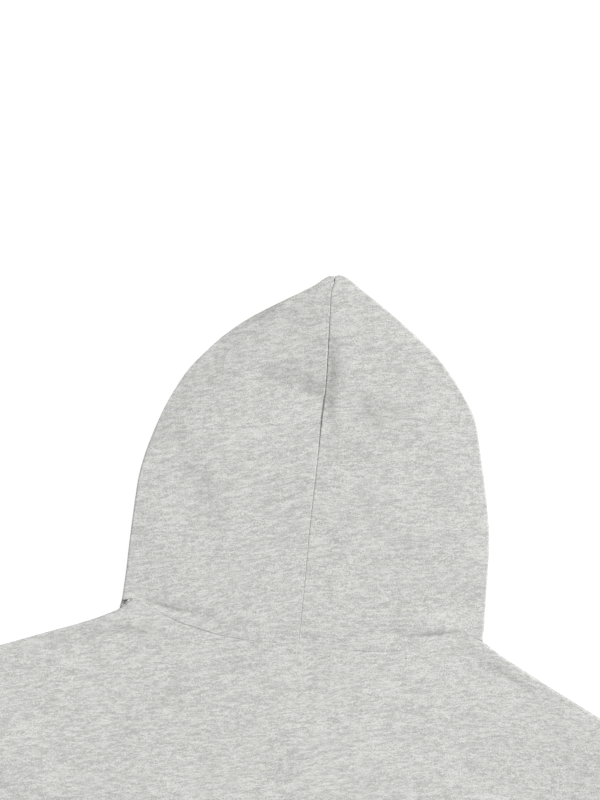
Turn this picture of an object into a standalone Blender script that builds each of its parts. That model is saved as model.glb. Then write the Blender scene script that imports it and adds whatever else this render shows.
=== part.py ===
"""A zip-up hoodie lying flat on its front, back up, with the hood spread above the shoulders.

Plan sizes are in millimetres from the middle of the back neck seam: x to the wearer's right,
y up the body towards the hood, z up from the surface. Each piece of cloth is an open surface,
its outside, thickened inwards. Both layers of the garment follow one folded outline.
"""
import bpy
import math
import numpy as np

MM = 0.001
GAP = 0.3                  # clear space between two pieces at a seam
NECK_SEAM_AT = (0.0, 184.2)  # the back neck seam's middle, in the part's frame

FLEECE = 2.0               # wall of the body, sleeves and hood
RIB = 2.6                  # wall of the cuffs and the hem band
FOLD = 4.0                 # outer radius of a folded edge of fleece
RIB_FOLD = 3.2             # and of rib
EASE = 30.0                # how far inside a folded edge the cloth settles
BODY_TOP = 5.2             # outside height of the settled upper layer on the body
HOOD_TOP = 7.6             # and on the hood, which holds more air
HOOD_FROM_Y, HOOD_LONG = -30.0, 60.0  # where the height starts to change to the hood's, and over what length
SIDES = {"left": -1, "right": 1}

# Distance inside a folded edge of each line of points along it. A seam that lies on the fold
# has its first two lines one above the other, so that its cut edges face each other squarely.
FOLD_STEPS = (0.0, 1.1, 4.2, 14.0, 34.0)
SEAM_FOLD_STEPS = (0.0,) + FOLD_STEPS
FLAT_SEAM_STEPS = (0.0, 1.1, 2.4, 5.0, 14.0, 34.0)
SEAM_LIPS = (GAP / 2, 1.1)  # height of those two lines above or below the middle of the fold
CORNER_LIPS = (1.0, 1.9)    # and at the underarm and the neck point, where four pieces meet

# The shoulder's folded edge: x, then y on the left and on the right
SHOULDER = (
    (137.5, 21.0, 21.0),
    (150.0, 12.8, 13.6),
    (174.0, 0.2, 0.6),
    (205.0, -11.8, -14.8),
    (238.0, -24.8, -30.4),
    (285.0, -43.0, -54.0),
)
NECK_POINT = (137.5, 21.0)
UNDERARM = (302.0, -300.0)
HEM_SIDE = (300.0, -600.0)
HEM_SEAM_Y = HEM_SIDE[1]
SHOULDER_LEAN = 0.91       # cosine of its slope

# The back neck seam: x, y
BACK_NECK = (
    (0.0, 0.0), (30.0, -0.8), (60.0, 0.4), (80.0, 3.6), (95.0, 7.6), (110.0, 13.4), (125.0, 19.4), NECK_POINT,
)
ZIP_EDGE_X = 4.5           # the fronts' edges, either side of the zip
ZIP_TOP_Y = -68.0
FRONT_NECK_POWER = 2.2     # how sharply the front neck turns up to the neck point

# The hood's folded outline: y, then half-width on the left and on the right
HOOD = (
    (21.3, 137.5, 137.5),
    (30.0, 142.0, 141.5),
    (45.0, 144.6, 143.3),
    (75.0, 144.6, 142.6),
    (105.0, 143.8, 140.6),
    (135.0, 140.5, 134.5),
    (165.0, 132.4, 127.5),
    (195.0, 120.2, 118.7),
    (225.0, 100.5, 98.0),
    (245.0, 81.0, 79.5),
    (260.0, 62.0, 60.5),
    (273.0, 41.5, 41.5),
    (284.0, 24.0, 24.0),
    (292.0, 12.5, 12.0),
    (296.0, 6.0, 6.0),
)
CROWN_Y = 296.2
CROWN_NOTCH = 0.3          # how far each panel stands back from the centre seam at the crown
NOTCH_FROM, NOTCH_LONG = 12.0, 8.0  # how far below the crown it starts, and over what length it opens
BROW_Y = 235.0             # where the centre seam ends at the face opening, underneath
SEAM_TURN_Y = 110.0        # where the hood's mesh turns its corner on the centre seam
CENTRE_SEAM = ((-10.0, 0.0), (150.0, -1.2), (230.0, -2.0), (270.0, -3.4), (300.0, -3.6))  # y, x
# The edge of the face opening, from the zip's top to the brow: x, y
FACE_EDGE = (
    (4.5, -67.7), (14.0, -45.0), (34.0, 0.0), (52.0, 45.0), (61.0, 95.0), (60.0, 140.0), (48.0, 185.0),
    (28.0, 218.0), (9.0, 233.5),
)
# Rows of the hood's panels, as shares of the way from the neck to the crown
HOOD_ROWS = (
    0.0, 0.03, 0.09, 0.18, 0.28, 0.38, 0.48, 0.58, 0.67, 0.75, 0.82, 0.88, 0.93, 0.96, 0.985, 1.0,
)

# The sleeve's outer edge runs on from the shoulder and bends down: length of each stretch, and its angle
# below level
SLEEVE_BENDS = (
    (55.0, 31.0), (65.0, 42.0), (80.0, 50.0), (100.0, 52.0), (100.0, 52.0), (72.0, 52.0), (28.0, 55.0),
)
SLEEVE_ANGLE = math.radians(52.0)
SLEEVE_END = 124.0         # flat width just above the gathers
CUFF_SEAM = 104.0          # flat width at the cuff's seam
CUFF_END = 96.0
CUFF_LENGTH = 65.0
HEM_LENGTH = 65.0
HEM_END_X = 282.0          # the hem band's half-width at its free edge
HEM_EASE = 11.0            # how far it draws in below its seam, each side
RIB_STEPS = (0.0, 1.0, 3.4)  # the first lines of points inside a folded edge of rib

# The zip: all heights are those under the front's flat part, and are raised with it at the slider
TAPE_INNER_X, TAPE_OUTER_X, TAPE = 2.2, 15.0, 0.6
CHAIN_X, CHAIN_LOW, CHAIN = 2.9, 0.3, 1.7
SLIDER_Y = -86.0
SLIDER_HALF = (4.1, 7.0)   # across and along the zip
CHAIN_TOP_Y = SLIDER_Y + 5.0
SLIDER_RAISE = 4.15        # how far the front rises from the surface over the slider
BACK_RAISE = 5.45          # and the back over the slider's inner plate
RAISE_FLAT_X, RAISE_EDGE_X = 16.0, 75.0
RAISE_LOW_Y, RAISE_FROM_Y, RAISE_TO_Y, RAISE_HIGH_Y = -180.0, -108.0, -50.0, 14.0
PULL_Z = 2.1               # height of the pull tab's pivot
PULL_TILT = math.radians(3.0)

GREY = (0.61, 0.61, 0.60, 1.0)
RIB_GREY = (0.58, 0.58, 0.57, 1.0)
TAPE_GREY = (0.52, 0.52, 0.51, 1.0)
COIL_GREY = (0.42, 0.42, 0.42, 1.0)
NICKEL = (0.72, 0.71, 0.69, 1.0)


# Lines in plan

def smooth(t):
    t = np.clip(t, 0.0, 1.0)
    return t * t * (3.0 - 2.0 * t)


def curve(points, steps=8):
    """A dense line through the points, rounded between them."""
    p = np.array(points, float)
    p = np.vstack([2 * p[0] - p[1], p, 2 * p[-1] - p[-2]])
    t = np.linspace(0.0, 1.0, steps, endpoint=False)[:, None]
    parts = [
        b + 0.5 * ((c - a) * t + (2 * a - 5 * b + 4 * c - d) * t**2 + (3 * b - a - 3 * c + d) * t**3)
        for a, b, c, d in zip(p, p[1:], p[2:], p[3:])
    ]
    return np.vstack(parts + [p[-2:-1]])


def along(line, fractions):
    """Points at these fractions of a line's length."""
    run = np.concatenate([[0.0], np.cumsum(np.linalg.norm(np.diff(line, axis=0), axis=1))])
    at = np.asarray(fractions) * run[-1]
    return np.column_stack([np.interp(at, run, line[:, k]) for k in range(2)])


def seam_x(side, y):
    """The edge of one hood panel along the centre seam."""
    table = np.array(CENTRE_SEAM)
    clear = GAP / 2 + CROWN_NOTCH * smooth((np.asarray(y) - CROWN_Y + NOTCH_FROM) / NOTCH_LONG)
    return np.interp(y, table[:, 0], table[:, 1]) + SIDES[side] * clear


def hood_outline(side):
    """The hood's fold from the neck point to the crown."""
    sign, column = SIDES[side], 1 + (side == "right")
    points = [(sign * row[column], row[0]) for row in HOOD]
    line = curve(points)
    end = (float(seam_x(side, CROWN_Y)), CROWN_Y)
    return np.vstack([line, [(end[0] + sign * 3.0, CROWN_Y), end]])


def shoulder_y(side, x):
    column = 1 + (side == "right")
    return np.interp(x, [row[0] for row in SHOULDER], [row[column] for row in SHOULDER])


def sleeve_edges(side):
    """Outer and inner edge of the sleeve, as lists of matching points from the armhole to the cuff's seam."""
    outer = [(SHOULDER[-1][0], float(shoulder_y(side, SHOULDER[-1][0])))]
    for length, angle in SLEEVE_BENDS:
        a = math.radians(angle)
        outer.append((outer[-1][0] + length * math.cos(a), outer[-1][1] - length * math.sin(a)))
    across = np.array((-math.sin(SLEEVE_ANGLE), -math.cos(SLEEVE_ANGLE)))
    above = np.array(outer[-2]) + SLEEVE_END * across
    end = np.array(outer[-1]) + CUFF_SEAM * across
    shares = np.linspace(0.0, 1.0, len(SLEEVE_BENDS))
    inner = [np.array(UNDERARM) * (1 - t) + above * t for t in shares] + [end]
    scale = np.array((SIDES[side], 1.0))
    return np.array(outer) * scale, np.array(inner) * scale


def folded_outline():
    """Every folded edge of the fleece, as separate lines."""
    lines = []
    for side, sign in SIDES.items():
        outer, inner = sleeve_edges(side)
        top = [(sign * row[0], row[1 + (side == "right")]) for row in SHOULDER]
        bottom = [(sign * HEM_SIDE[0], y) for y in (HEM_SEAM_Y, HEM_SEAM_Y - HEM_LENGTH)]
        lines += [hood_outline(side), np.vstack([top, outer[1:]]), np.vstack([inner[::-1], bottom])]
    return np.vstack([np.column_stack([line[:-1], line[1:]]) for line in lines])


OUTLINE = folded_outline()


def inside_by(x, y):
    """Distance of plan points from the nearest folded edge."""
    p = np.stack([np.asarray(x, float), np.asarray(y, float)], axis=-1)[..., None, :]
    a, b = OUTLINE[:, :2], OUTLINE[:, 2:]
    step = b - a
    t = np.clip(((p - a) * step).sum(-1) / (step * step).sum(-1), 0.0, 1.0)
    return np.linalg.norm(p - a - t[..., None] * step, axis=-1).min(-1)


# Heights

def raised(x, y):
    """Share of the rise over the slider, 1 at the slider and 0 where the cloth lies flat."""
    over = 1.0 - smooth((np.abs(x) - RAISE_FLAT_X) / (RAISE_EDGE_X - RAISE_FLAT_X))
    up = smooth((y - RAISE_LOW_Y) / (RAISE_FROM_Y - RAISE_LOW_Y))
    down = 1.0 - smooth((y - RAISE_TO_Y) / (RAISE_HIGH_Y - RAISE_TO_Y))
    return over * up * down


def bulge(d, radius):
    """Half-height of a folded edge at a distance d inside it."""
    d = np.clip(d, 0.0, radius)
    return np.sqrt(2 * radius * d - d * d)


def upper(x, y, d):
    """Outside of the upper layer: a rounded fold that settles inwards."""
    rest = BODY_TOP + (HOOD_TOP - BODY_TOP) * smooth((y - HOOD_FROM_Y) / HOOD_LONG)
    at_hem = (1.0 - smooth((y - HEM_SEAM_Y) / EASE)) * (np.abs(x) < HEM_SIDE[0])
    rest = rest + (2 * RIB_FOLD - BODY_TOP) * at_hem
    rest = rest + BACK_RAISE * raised(x, y)
    edge = 1.0 - smooth((d - FOLD) / EASE)
    return np.where(d < FOLD, FOLD + bulge(d, FOLD), rest + (2 * FOLD - rest) * edge * (rest < 2 * FOLD))


def lower(x, y, d):
    """Outside of the under layer, flat on the surface except over the slider."""
    return FOLD - bulge(d, FOLD) + SLIDER_RAISE * raised(x, y)


# Making pieces

model = bpy.data.collections.new("zip_up_hoodie")
cutters = bpy.data.collections.new("cutters")


def clear_scene():
    for thing in list(bpy.data.objects):
        bpy.data.objects.remove(thing, do_unlink=True)
    for collection in (model, cutters):
        bpy.context.scene.collection.children.link(collection)


def material(name, colour, roughness, metallic=0.0):
    made = bpy.data.materials.new(name)
    made.use_nodes = True
    shader = made.node_tree.nodes["Principled BSDF"]
    shader.inputs["Base Color"].default_value = colour
    shader.inputs["Roughness"].default_value = roughness
    shader.inputs["Metallic"].default_value = metallic
    return made


def add(name, mesh, look, parent, collection=None):
    thing = bpy.data.objects.new(name, mesh)
    (collection or model).objects.link(thing)
    thing.parent = parent
    if look:
        mesh.materials.append(look)
    return thing


def cloth(name, grid, wall, look, parent, ring=False):
    """A wall of cloth whose outside passes through a grid of points, rows by columns by xyz."""
    rows, columns = grid.shape[:2]
    index = np.arange(rows * columns).reshape(rows, columns)
    if ring:
        index = np.column_stack([index, index[:, :1]])
    faces = [
        (index[r, c], index[r, c + 1], index[r + 1, c + 1], index[r + 1, c])
        for r in range(rows - 1)
        for c in range(index.shape[1] - 1)
    ]
    points = grid.reshape(-1, 3) * MM
    mesh = bpy.data.meshes.new(name)
    mesh.from_pydata(points.tolist(), [], [tuple(int(v) for v in face) for face in faces])
    mesh.update()
    middle = FOLD * MM
    facing = sum(f.area * f.normal.z * (f.center.z - middle) for f in mesh.polygons)
    if facing < 0:
        mesh.flip_normals()
    thing = add(name, mesh, look, parent)
    shell = thing.modifiers.new("wall", "SOLIDIFY")
    shell.thickness = wall * MM
    shell.offset = -1.0
    shell.use_even_offset = True
    shell.use_quality_normals = True
    mesh.shade_smooth()
    return thing


def block(name, low, high, look, parent, collection=None):
    """A box between two corners."""
    bpy.ops.mesh.primitive_cube_add(size=1.0)
    thing = bpy.context.object
    thing.name = name
    for old in thing.users_collection:
        old.objects.unlink(thing)
    (collection or model).objects.link(thing)
    low, high = np.array(low) * MM, np.array(high) * MM
    for vertex in thing.data.vertices:
        vertex.co = low + (high - low) * (np.array(vertex.co) + 0.5)
    thing.parent = parent
    if look:
        thing.data.materials.append(look)
    return thing


def unite(thing, others):
    """Joins blocks to one solid."""
    for other in others:
        join = thing.modifiers.new("join", "BOOLEAN")
        join.operation = "UNION"
        join.solver = "EXACT"
        join.object = other
        other.hide_render = True
        other.display_type = "WIRE"


# Body

# Rows of the body's panels, each at a share of the way: from the hem's seam to the underarm, then from the
# underarm to just below the top
LOW_ROWS = (0.0, 0.08, 0.5, 1.0)
UNDERARM_ROWS = (1.5, 5.8)  # millimetres above the underarm
HIGH_ROWS = (0.25, 0.48, 0.61, 0.74, 0.87)
SHOULDER_COLUMNS = (142.5, 195.0)  # x of the columns between the neck point and the shoulder's end


def half_width(side, y):
    """The body's half-width: the armhole's line above the underarm, the side's fold below."""
    end = SHOULDER[-1][0]
    ys = (HEM_SIDE[1], UNDERARM[1], float(shoulder_y(side, end)))
    return np.interp(y, ys, (HEM_SIDE[0], UNDERARM[0], end))


def body_column(side, share, top, at_fold, side_step):
    """Points of one column from the hem's seam to its top edge. share is x at the shoulder's end as a part
    of its half-width, and side_step the column's place counted from the side, or None inside."""
    steps = SEAM_FOLD_STEPS if at_fold else FLAT_SEAM_STEPS
    lean = SHOULDER_LEAN if at_fold else 1.0
    bottom = HEM_SEAM_Y + GAP / 2
    top_rows = [top - s / lean for s in steps[::-1]]
    underarm = UNDERARM[1]
    low = [bottom + (underarm - bottom) * f for f in LOW_ROWS] + [underarm + s for s in UNDERARM_ROWS]
    high = [underarm + (top_rows[0] - underarm) * f for f in HIGH_ROWS]
    y = np.array(low + high + top_rows)
    width = half_width(side, y) - GAP / 2 * (y > underarm)
    if side_step is None:
        return share * width, y
    return width - np.where(y > underarm, FLAT_SEAM_STEPS[side_step], SEAM_FOLD_STEPS[side_step]), y


def body_half(side, neck_line, layer):
    """A grid for half of one body layer, from its inner column to the side. neck_line holds its neck seam's
    points from the middle to the neck point."""
    sign, end = SIDES[side], SHOULDER[-1][0]
    away = 1.0 if layer is upper else -1.0
    places = [(x, y, None) for x, y in neck_line]
    places += [(x, shoulder_y(side, x), None) for x in SHOULDER_COLUMNS]
    places += [(end - s, shoulder_y(side, end - s), k) for k, s in reversed(list(enumerate(FLAT_SEAM_STEPS)))]
    grid = []
    for at, top, side_step in places:
        corner = at == NECK_POINT[0]
        at_fold = at >= NECK_POINT[0]
        x, y = body_column(side, at / end, top, at_fold, side_step)
        z = layer(sign * x, y, inside_by(sign * x, y))
        if at_fold:
            for row, lip in enumerate(CORNER_LIPS if corner else SEAM_LIPS):
                z[-1 - row] = FOLD + away * lip
        if side_step in (0, 1):
            z[y < UNDERARM[1]] = FOLD + away * SEAM_LIPS[side_step]
            z[y == UNDERARM[1]] = FOLD + away * CORNER_LIPS[side_step]
        grid.append(np.column_stack([sign * x, y, z]))
    return np.array(grid)


def make_back(neck_lines, look, parent):
    """One panel, from the left side to the right."""
    left, right = (body_half(side, neck_lines[side], upper) for side in SIDES)
    return cloth("back", np.concatenate([left[::-1], right[1:]]), FLEECE, look, parent)


def make_front(side, neck_line, look, parent):
    """One of the two fronts, from the zip to the side. Returns its grid, which the zip's tape follows."""
    grid = body_half(side, neck_line, lower)
    grid[0, :, 0] = SIDES[side] * ZIP_EDGE_X
    grid[1, :, 0] = SIDES[side] * TAPE_OUTER_X
    cloth(f"{side}_front", grid, FLEECE, look, parent)
    return grid


# Hood

def front_neck_y(x):
    share = max(0.0, x - ZIP_EDGE_X) / (NECK_POINT[0] - ZIP_EDGE_X)
    return ZIP_TOP_Y + (NECK_POINT[1] - ZIP_TOP_Y) * share**FRONT_NECK_POWER


def patch(bottom, top, left, right, u, v):
    """A point sheet between four lines that meet at their ends, at parameters u across and v along."""
    u, v = np.asarray(u)[..., None], v
    corners = (1 - v) * ((1 - u) * bottom(0.0) + u * bottom(1.0)) + v * ((1 - u) * top(0.0) + u * top(1.0))
    flat = u[..., 0]
    return (1 - v) * bottom(flat) + v * top(flat) + (1 - u) * left(v) + u * right(v) - corners


def stretch(line):
    """A line as a function of the share of its length."""
    def at(share):
        found = along(line, np.atleast_1d(share))
        return found if np.ndim(share) else found[0]
    return at


def hood_row(sheet, v, between):
    """Plan points of one row, from its inner end (u = 0) to the fold (u = 1)."""
    dense = np.linspace(0.0, 1.0, 400)
    points = sheet(dense, v)
    away = inside_by(points[:, 0], points[:, 1])
    away[-1] = 0.0
    first = np.nonzero(away > FOLD_STEPS[-1] + 1.0)[0][-1]
    u_at = [float(np.interp(s, away[first:][::-1], dense[first:][::-1])) for s in FOLD_STEPS]
    start = u_at[-1]
    u = [start * k / between for k in range(between)] + u_at[::-1]
    return sheet(np.array(u), v)


def make_hood(side, look, parent):
    """Half of the hood, from the centre seam over its fold to the face opening's edge underneath. Returns the
    points where its two neck seams meet the body, from the middle to the neck point: back, then front."""
    sign = SIDES[side]
    half = GAP / 2
    neck_end = np.array((sign * NECK_POINT[0], NECK_POINT[1] + half))
    outline = hood_outline(side)
    outline[0] = neck_end
    ys = np.linspace(half, SEAM_TURN_Y, 12)
    centre_low = np.column_stack([seam_x(side, ys), ys])
    ys = np.linspace(SEAM_TURN_Y, CROWN_Y, 20)
    centre_high = np.column_stack([seam_x(side, ys), ys])
    ys = np.linspace(BROW_Y, CROWN_Y, 8)
    centre_under = np.column_stack([seam_x(side, ys), ys])
    back_neck = np.array([(sign * x, y + half) for x, y in BACK_NECK])
    back_neck[0] = centre_low[0]
    back_neck[-1] = neck_end
    xs = np.linspace(ZIP_EDGE_X, NECK_POINT[0], 14)
    front_neck = np.array([(sign * x, front_neck_y(x) + half) for x in xs])
    front_neck[-1] = neck_end
    face = curve([(sign * x, y) for x, y in FACE_EDGE] + [tuple(centre_under[0])])
    face[0] = front_neck[0]

    def top_sheet(u, v):
        return patch(stretch(back_neck), stretch(centre_high), stretch(centre_low), stretch(outline), u, v)

    def under_sheet(u, v):
        return patch(stretch(front_neck), stretch(centre_under), stretch(face), stretch(outline), u, v)

    grid = []
    for v in HOOD_ROWS:
        top = hood_row(top_sheet, v, 4)
        under = hood_row(under_sheet, v, 4)[::-1][1:]
        d_top = inside_by(top[:, 0], top[:, 1])
        d_top[-1] = 0.0
        z_top = upper(top[:, 0], top[:, 1], d_top)
        z_under = lower(under[:, 0], under[:, 1], inside_by(under[:, 0], under[:, 1]))
        row = np.vstack([np.column_stack([top, z_top]), np.column_stack([under, z_under])])
        grid.append(row)
    grid = np.array(grid)
    cloth(f"hood_{side}", grid, FLEECE, look, parent)
    fold = len(top) - 1
    neck = np.column_stack([np.abs(grid[0, :, 0]), grid[0, :, 1] - GAP])
    neck[0, 0] = 0.0
    neck[fold] = NECK_POINT
    front = list(neck[:fold - 1:-1])
    front.insert(1, (TAPE_OUTER_X, front_neck_y(TAPE_OUTER_X) - half))
    return neck[:fold + 1], front


# Sleeves, cuffs and the hem band

def ring(a, b, run_a, run_b, radius, rest, steps, between, shift=(0.0, 0.0)):
    """One flattened loop between edge points a and b, whose edges run along run_a and run_b."""
    across = b - a
    length = np.linalg.norm(across)
    across = across / length

    def lean(run):
        run = run / np.linalg.norm(run)
        return abs(across[0] * run[1] - across[1] * run[0])
    lean_a, lean_b = lean(run_a), lean(run_b)
    near_a = [s / lean_a for s in steps]
    near_b = [length - s / lean_b for s in steps]
    inner = np.linspace(near_a[-1], near_b[-1], between + 2)[1:-1]
    at = np.array(near_a + list(inner) + near_b[::-1])
    d = np.minimum(at * lean_a, (length - at) * lean_b)
    plan = a + across * at[:, None] + np.array(shift)
    edge = 1.0 - smooth((d - radius) / EASE)
    top = np.where(d < radius, radius + bulge(d, radius), rest + (2 * radius - rest) * edge)
    low = radius - bulge(d, radius)
    over = np.column_stack([plan, top])
    under = np.column_stack([plan, low])[::-1][1:-1]
    return np.vstack([over, under])


def make_sleeve(side, look, parent):
    """A tube folded flat along its outer and inner edges."""
    outer, inner = sleeve_edges(side)
    sign = SIDES[side]
    rings = []
    for k, (a, b) in enumerate(zip(outer, inner)):
        last = len(outer) - 1
        run_a = outer[min(k + 1, last)] - outer[max(k - 1, 0)]
        run_b = inner[min(k + 1, last)] - inner[max(k - 1, 0)]
        shift = (sign * 1.5 * GAP, 0.0) if k == 0 else (0.0, 0.0)
        rings.append(ring(a, b, run_a, run_b, FOLD, BODY_TOP, FOLD_STEPS, 3, shift))
    cloth(f"{side}_sleeve", np.array(rings), FLEECE, look, parent, ring=True)


def make_cuff(side, look, parent):
    """A short rib tube that starts a seam's gap beyond the sleeve and narrows to the wrist."""
    outer, inner = sleeve_edges(side)
    sign = SIDES[side]
    down = np.array((sign * math.cos(SLEEVE_ANGLE), -math.sin(SLEEVE_ANGLE)))
    middle = (outer[-1] + inner[-1]) / 2
    across = inner[-1] - outer[-1]
    across = across / np.linalg.norm(across)
    steps = RIB_STEPS + (16.0,)
    stations = ((GAP, CUFF_SEAM - 5.0), (0.3 * CUFF_LENGTH, CUFF_END + 1.0), (CUFF_LENGTH, CUFF_END))
    rings = []
    for run, width in stations:
        a = middle + down * run - across * width / 2
        b = middle + down * run + across * width / 2
        rings.append(ring(a, b, down, down, RIB_FOLD, 2 * RIB_FOLD, steps, 2))
    cloth(f"{side}_cuff", np.array(rings), RIB, look, parent, ring=True)


def make_hem(look, parent):
    """The hem band, one strip from zip edge to zip edge round the back."""
    steps = RIB_STEPS + (20.0,)
    start, full = HEM_SEAM_Y - GAP / 2, HEM_SIDE[0] - 1.5
    eased, free_edge = (start - 24.0, full - HEM_EASE), (HEM_SEAM_Y - HEM_LENGTH, HEM_END_X)
    stations = ((start, full), (start - 3.0, full), eased, free_edge)
    rows = []
    for y, half in stations:
        d = np.array(steps)
        x_fold = half - d
        under_x = np.concatenate([[ZIP_EDGE_X, 60.0, 150.0, 220.0], x_fold[::-1]])
        top_x = np.concatenate([x_fold[1:], [220.0, 150.0, 75.0]])
        under_z, top_z = RIB_FOLD - bulge(half - under_x, RIB_FOLD), RIB_FOLD + bulge(half - top_x, RIB_FOLD)
        under = np.column_stack([under_x, np.full(len(under_x), y), under_z])
        over = np.column_stack([top_x, np.full(len(top_x), y), top_z])
        half_row = np.vstack([under, over])
        mirror = half_row[::-1] * np.array((-1.0, 1.0, 1.0))
        centre = [[0.0, y, 2 * RIB_FOLD]]
        rows.append(np.vstack([half_row, centre, mirror]))
    cloth("hem_band", np.array(rows), RIB, look, parent)


# Zip

def make_tape(side, front, look, parent):
    """A woven tape on the inside of a front's edge, made from that edge's own points."""
    sign = SIDES[side]
    below = HEM_SEAM_Y - HEM_LENGTH + 3.0
    in_rib = RIB + GAP      # its height inside the hem band, and a little way up from it
    columns = []
    for x, source in ((TAPE_INNER_X, front[0]), (TAPE_OUTER_X, front[1])):
        kept = source[1:-1].copy()
        kept[:, 2] += FLEECE + GAP
        low = [(0.0, y, in_rib) for y in (below, HEM_SEAM_Y - GAP / 2, HEM_SEAM_Y + 8.0)]
        column = np.vstack([low, kept])
        column[:, 0] = sign * x
        columns.append(column)
    cloth(f"zip_tape_{side}", np.array(columns), TAPE, look, parent)


def make_chain(front, look, parent):
    """The closed coils, one strip from the box at the hem to inside the slider."""
    edge = front[0]
    kept = edge[1:][edge[1:, 1] < CHAIN_TOP_Y - 2.0]
    low_y = HEM_SEAM_Y - HEM_LENGTH + 11.0
    ys = np.concatenate([[low_y], kept[:, 1], [CHAIN_TOP_Y]])
    z = CHAIN_LOW + np.concatenate([[0.0], kept[:, 2], [SLIDER_RAISE]])
    columns = [np.column_stack([np.full(len(ys), sign * CHAIN_X), ys, z]) for sign in (-1, 1)]
    cloth("zip_chain", np.array(columns), CHAIN, look, parent)


def make_slider(look, parent):
    """Two plates joined by a post between the tapes, with side walls and a bridge that holds the pull tab."""
    half_x, half_y = SLIDER_HALF
    low_y, high_y = SLIDER_Y - half_y, SLIDER_Y + half_y
    outer_plate, inner_plate = (3.15, 4.15), (7.35, 8.35)
    wall_top = 6.15
    bridge_half, leg, bar = 5.5, 1.2, (0.15, 1.05)
    corners = (-half_x, low_y, outer_plate[0]), (half_x, high_y, outer_plate[1])
    slider = block("zip_slider", *corners, look, parent)
    parts = [((-half_x, low_y, inner_plate[0]), (half_x, high_y, inner_plate[1]))]
    parts.append(((-1.2, high_y - 1.4, outer_plate[0] + 0.2), (1.2, high_y - 0.1, inner_plate[1] - 0.2)))
    for sign in (-1, 1):
        low_x, high_x = sorted((sign * (half_x - 0.8), sign * half_x))
        parts.append(((low_x, low_y + 0.1, outer_plate[0] + 0.2), (high_x, high_y - 0.1, wall_top)))
        y = SLIDER_Y + sign * (bridge_half - leg / 2)
        parts.append(((-1.0, y - leg / 2, bar[0] + 0.1), (1.0, y + leg / 2, outer_plate[0] + 0.2)))
    parts.append(((-0.95, SLIDER_Y - bridge_half, bar[0]), (0.95, SLIDER_Y + bridge_half, bar[1])))
    unite(slider, [block(f"slider_part_{k}", *part, None, parent, cutters) for k, part in enumerate(parts)])


def make_pull(look, parent):
    """A flat tab with a slot for the bridge and a round hole at its free end. It turns about its end bar."""
    pivot = bpy.data.objects.new("pull_pivot", None)
    model.objects.link(pivot)
    pivot.parent = parent
    pivot.location = (0.0, SLIDER_Y * MM, PULL_Z * MM)
    pivot.rotation_euler = (PULL_TILT, 0.0, 0.0)
    bar, slot, length, half, slot_half = 0.6, 6.3, 25.0, 3.0, 1.5
    hole, hole_from_end = 1.6, 4.5
    flat = bpy.data.curves.new("zip_pull", "CURVE")
    flat.dimensions = "2D"
    flat.fill_mode = "BOTH"
    flat.extrude = bar * MM

    def loop(points):
        line = flat.splines.new("POLY")
        line.points.add(len(points) - 1)
        for point, (x, y) in zip(line.points, points):
            point.co = (x * MM, y * MM, 0.0, 1.0)
        line.use_cyclic_u = True

    corner = 1.2
    free_end = [(half, corner - length), (half - corner, -length)]
    free_end += [(-x, y) for x, y in free_end[::-1]]
    loop([(-half, bar), (half, bar)] + free_end)
    loop([(-slot_half, -bar), (-slot_half, -slot), (slot_half, -slot), (slot_half, -bar)])
    turns = [math.radians(angle) for angle in range(0, 360, 45)]
    loop([(hole * math.cos(a), hole_from_end - length + hole * math.sin(a)) for a in turns])
    thing = bpy.data.objects.new("zip_pull", flat)
    model.objects.link(thing)
    flat.materials.append(look)
    thing.parent = pivot


def make_zip_ends(metal, parent):
    """The stops above the slider and the box that holds the zip's foot."""
    for side, sign in SIDES.items():
        low_x, high_x = sorted((sign * 2.4, sign * 4.2))
        y = SLIDER_Y + SLIDER_HALF[1] + 2.0
        block(f"zip_stop_{side}", (low_x, y, 4.6), (high_x, y + 3.0, 6.15), metal, parent)
    foot = HEM_SEAM_Y - HEM_LENGTH
    block("zip_box", (-4.2, foot + 2.0, 0.3), (4.2, foot + 10.7, 2.6), metal, parent)


def build():
    clear_scene()
    fleece = material("heather_fleece", GREY, 0.95)
    rib = material("heather_rib", RIB_GREY, 0.95)
    tape = material("zip_tape", TAPE_GREY, 0.9)
    coil = material("zip_coil", COIL_GREY, 0.5)
    metal = material("zip_metal", NICKEL, 0.3, 1.0)
    neck = bpy.data.objects.new("back_neck_seam", None)
    neck.location = (NECK_SEAM_AT[0] * MM, NECK_SEAM_AT[1] * MM, 0.0)
    model.objects.link(neck)
    bpy.context.view_layer.update()
    back_lines = {}
    for side in SIDES:
        back_lines[side], front_line = make_hood(side, fleece, neck)
        front = make_front(side, front_line, fleece, neck)
        make_tape(side, front, tape, neck)
        make_sleeve(side, fleece, neck)
        make_cuff(side, rib, neck)
    make_back(back_lines, fleece, neck)
    make_hem(rib, neck)
    make_chain(front, coil, neck)
    make_slider(metal, neck)
    make_pull(metal, neck)
    make_zip_ends(metal, neck)


build()
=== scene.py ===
# A zip-up hoodie in light grey heather fleece, lying flat on its front with the hood spread out beyond the
# neck. Plan sizes are in millimetres from the middle of the back neck seam: x to the wearer's right, y to the
# hood's crown, z up from the table. Each mesh turns them to metres.
import math

import bmesh
import bpy
import numpy as np
from mathutils import Matrix, Vector


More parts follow.
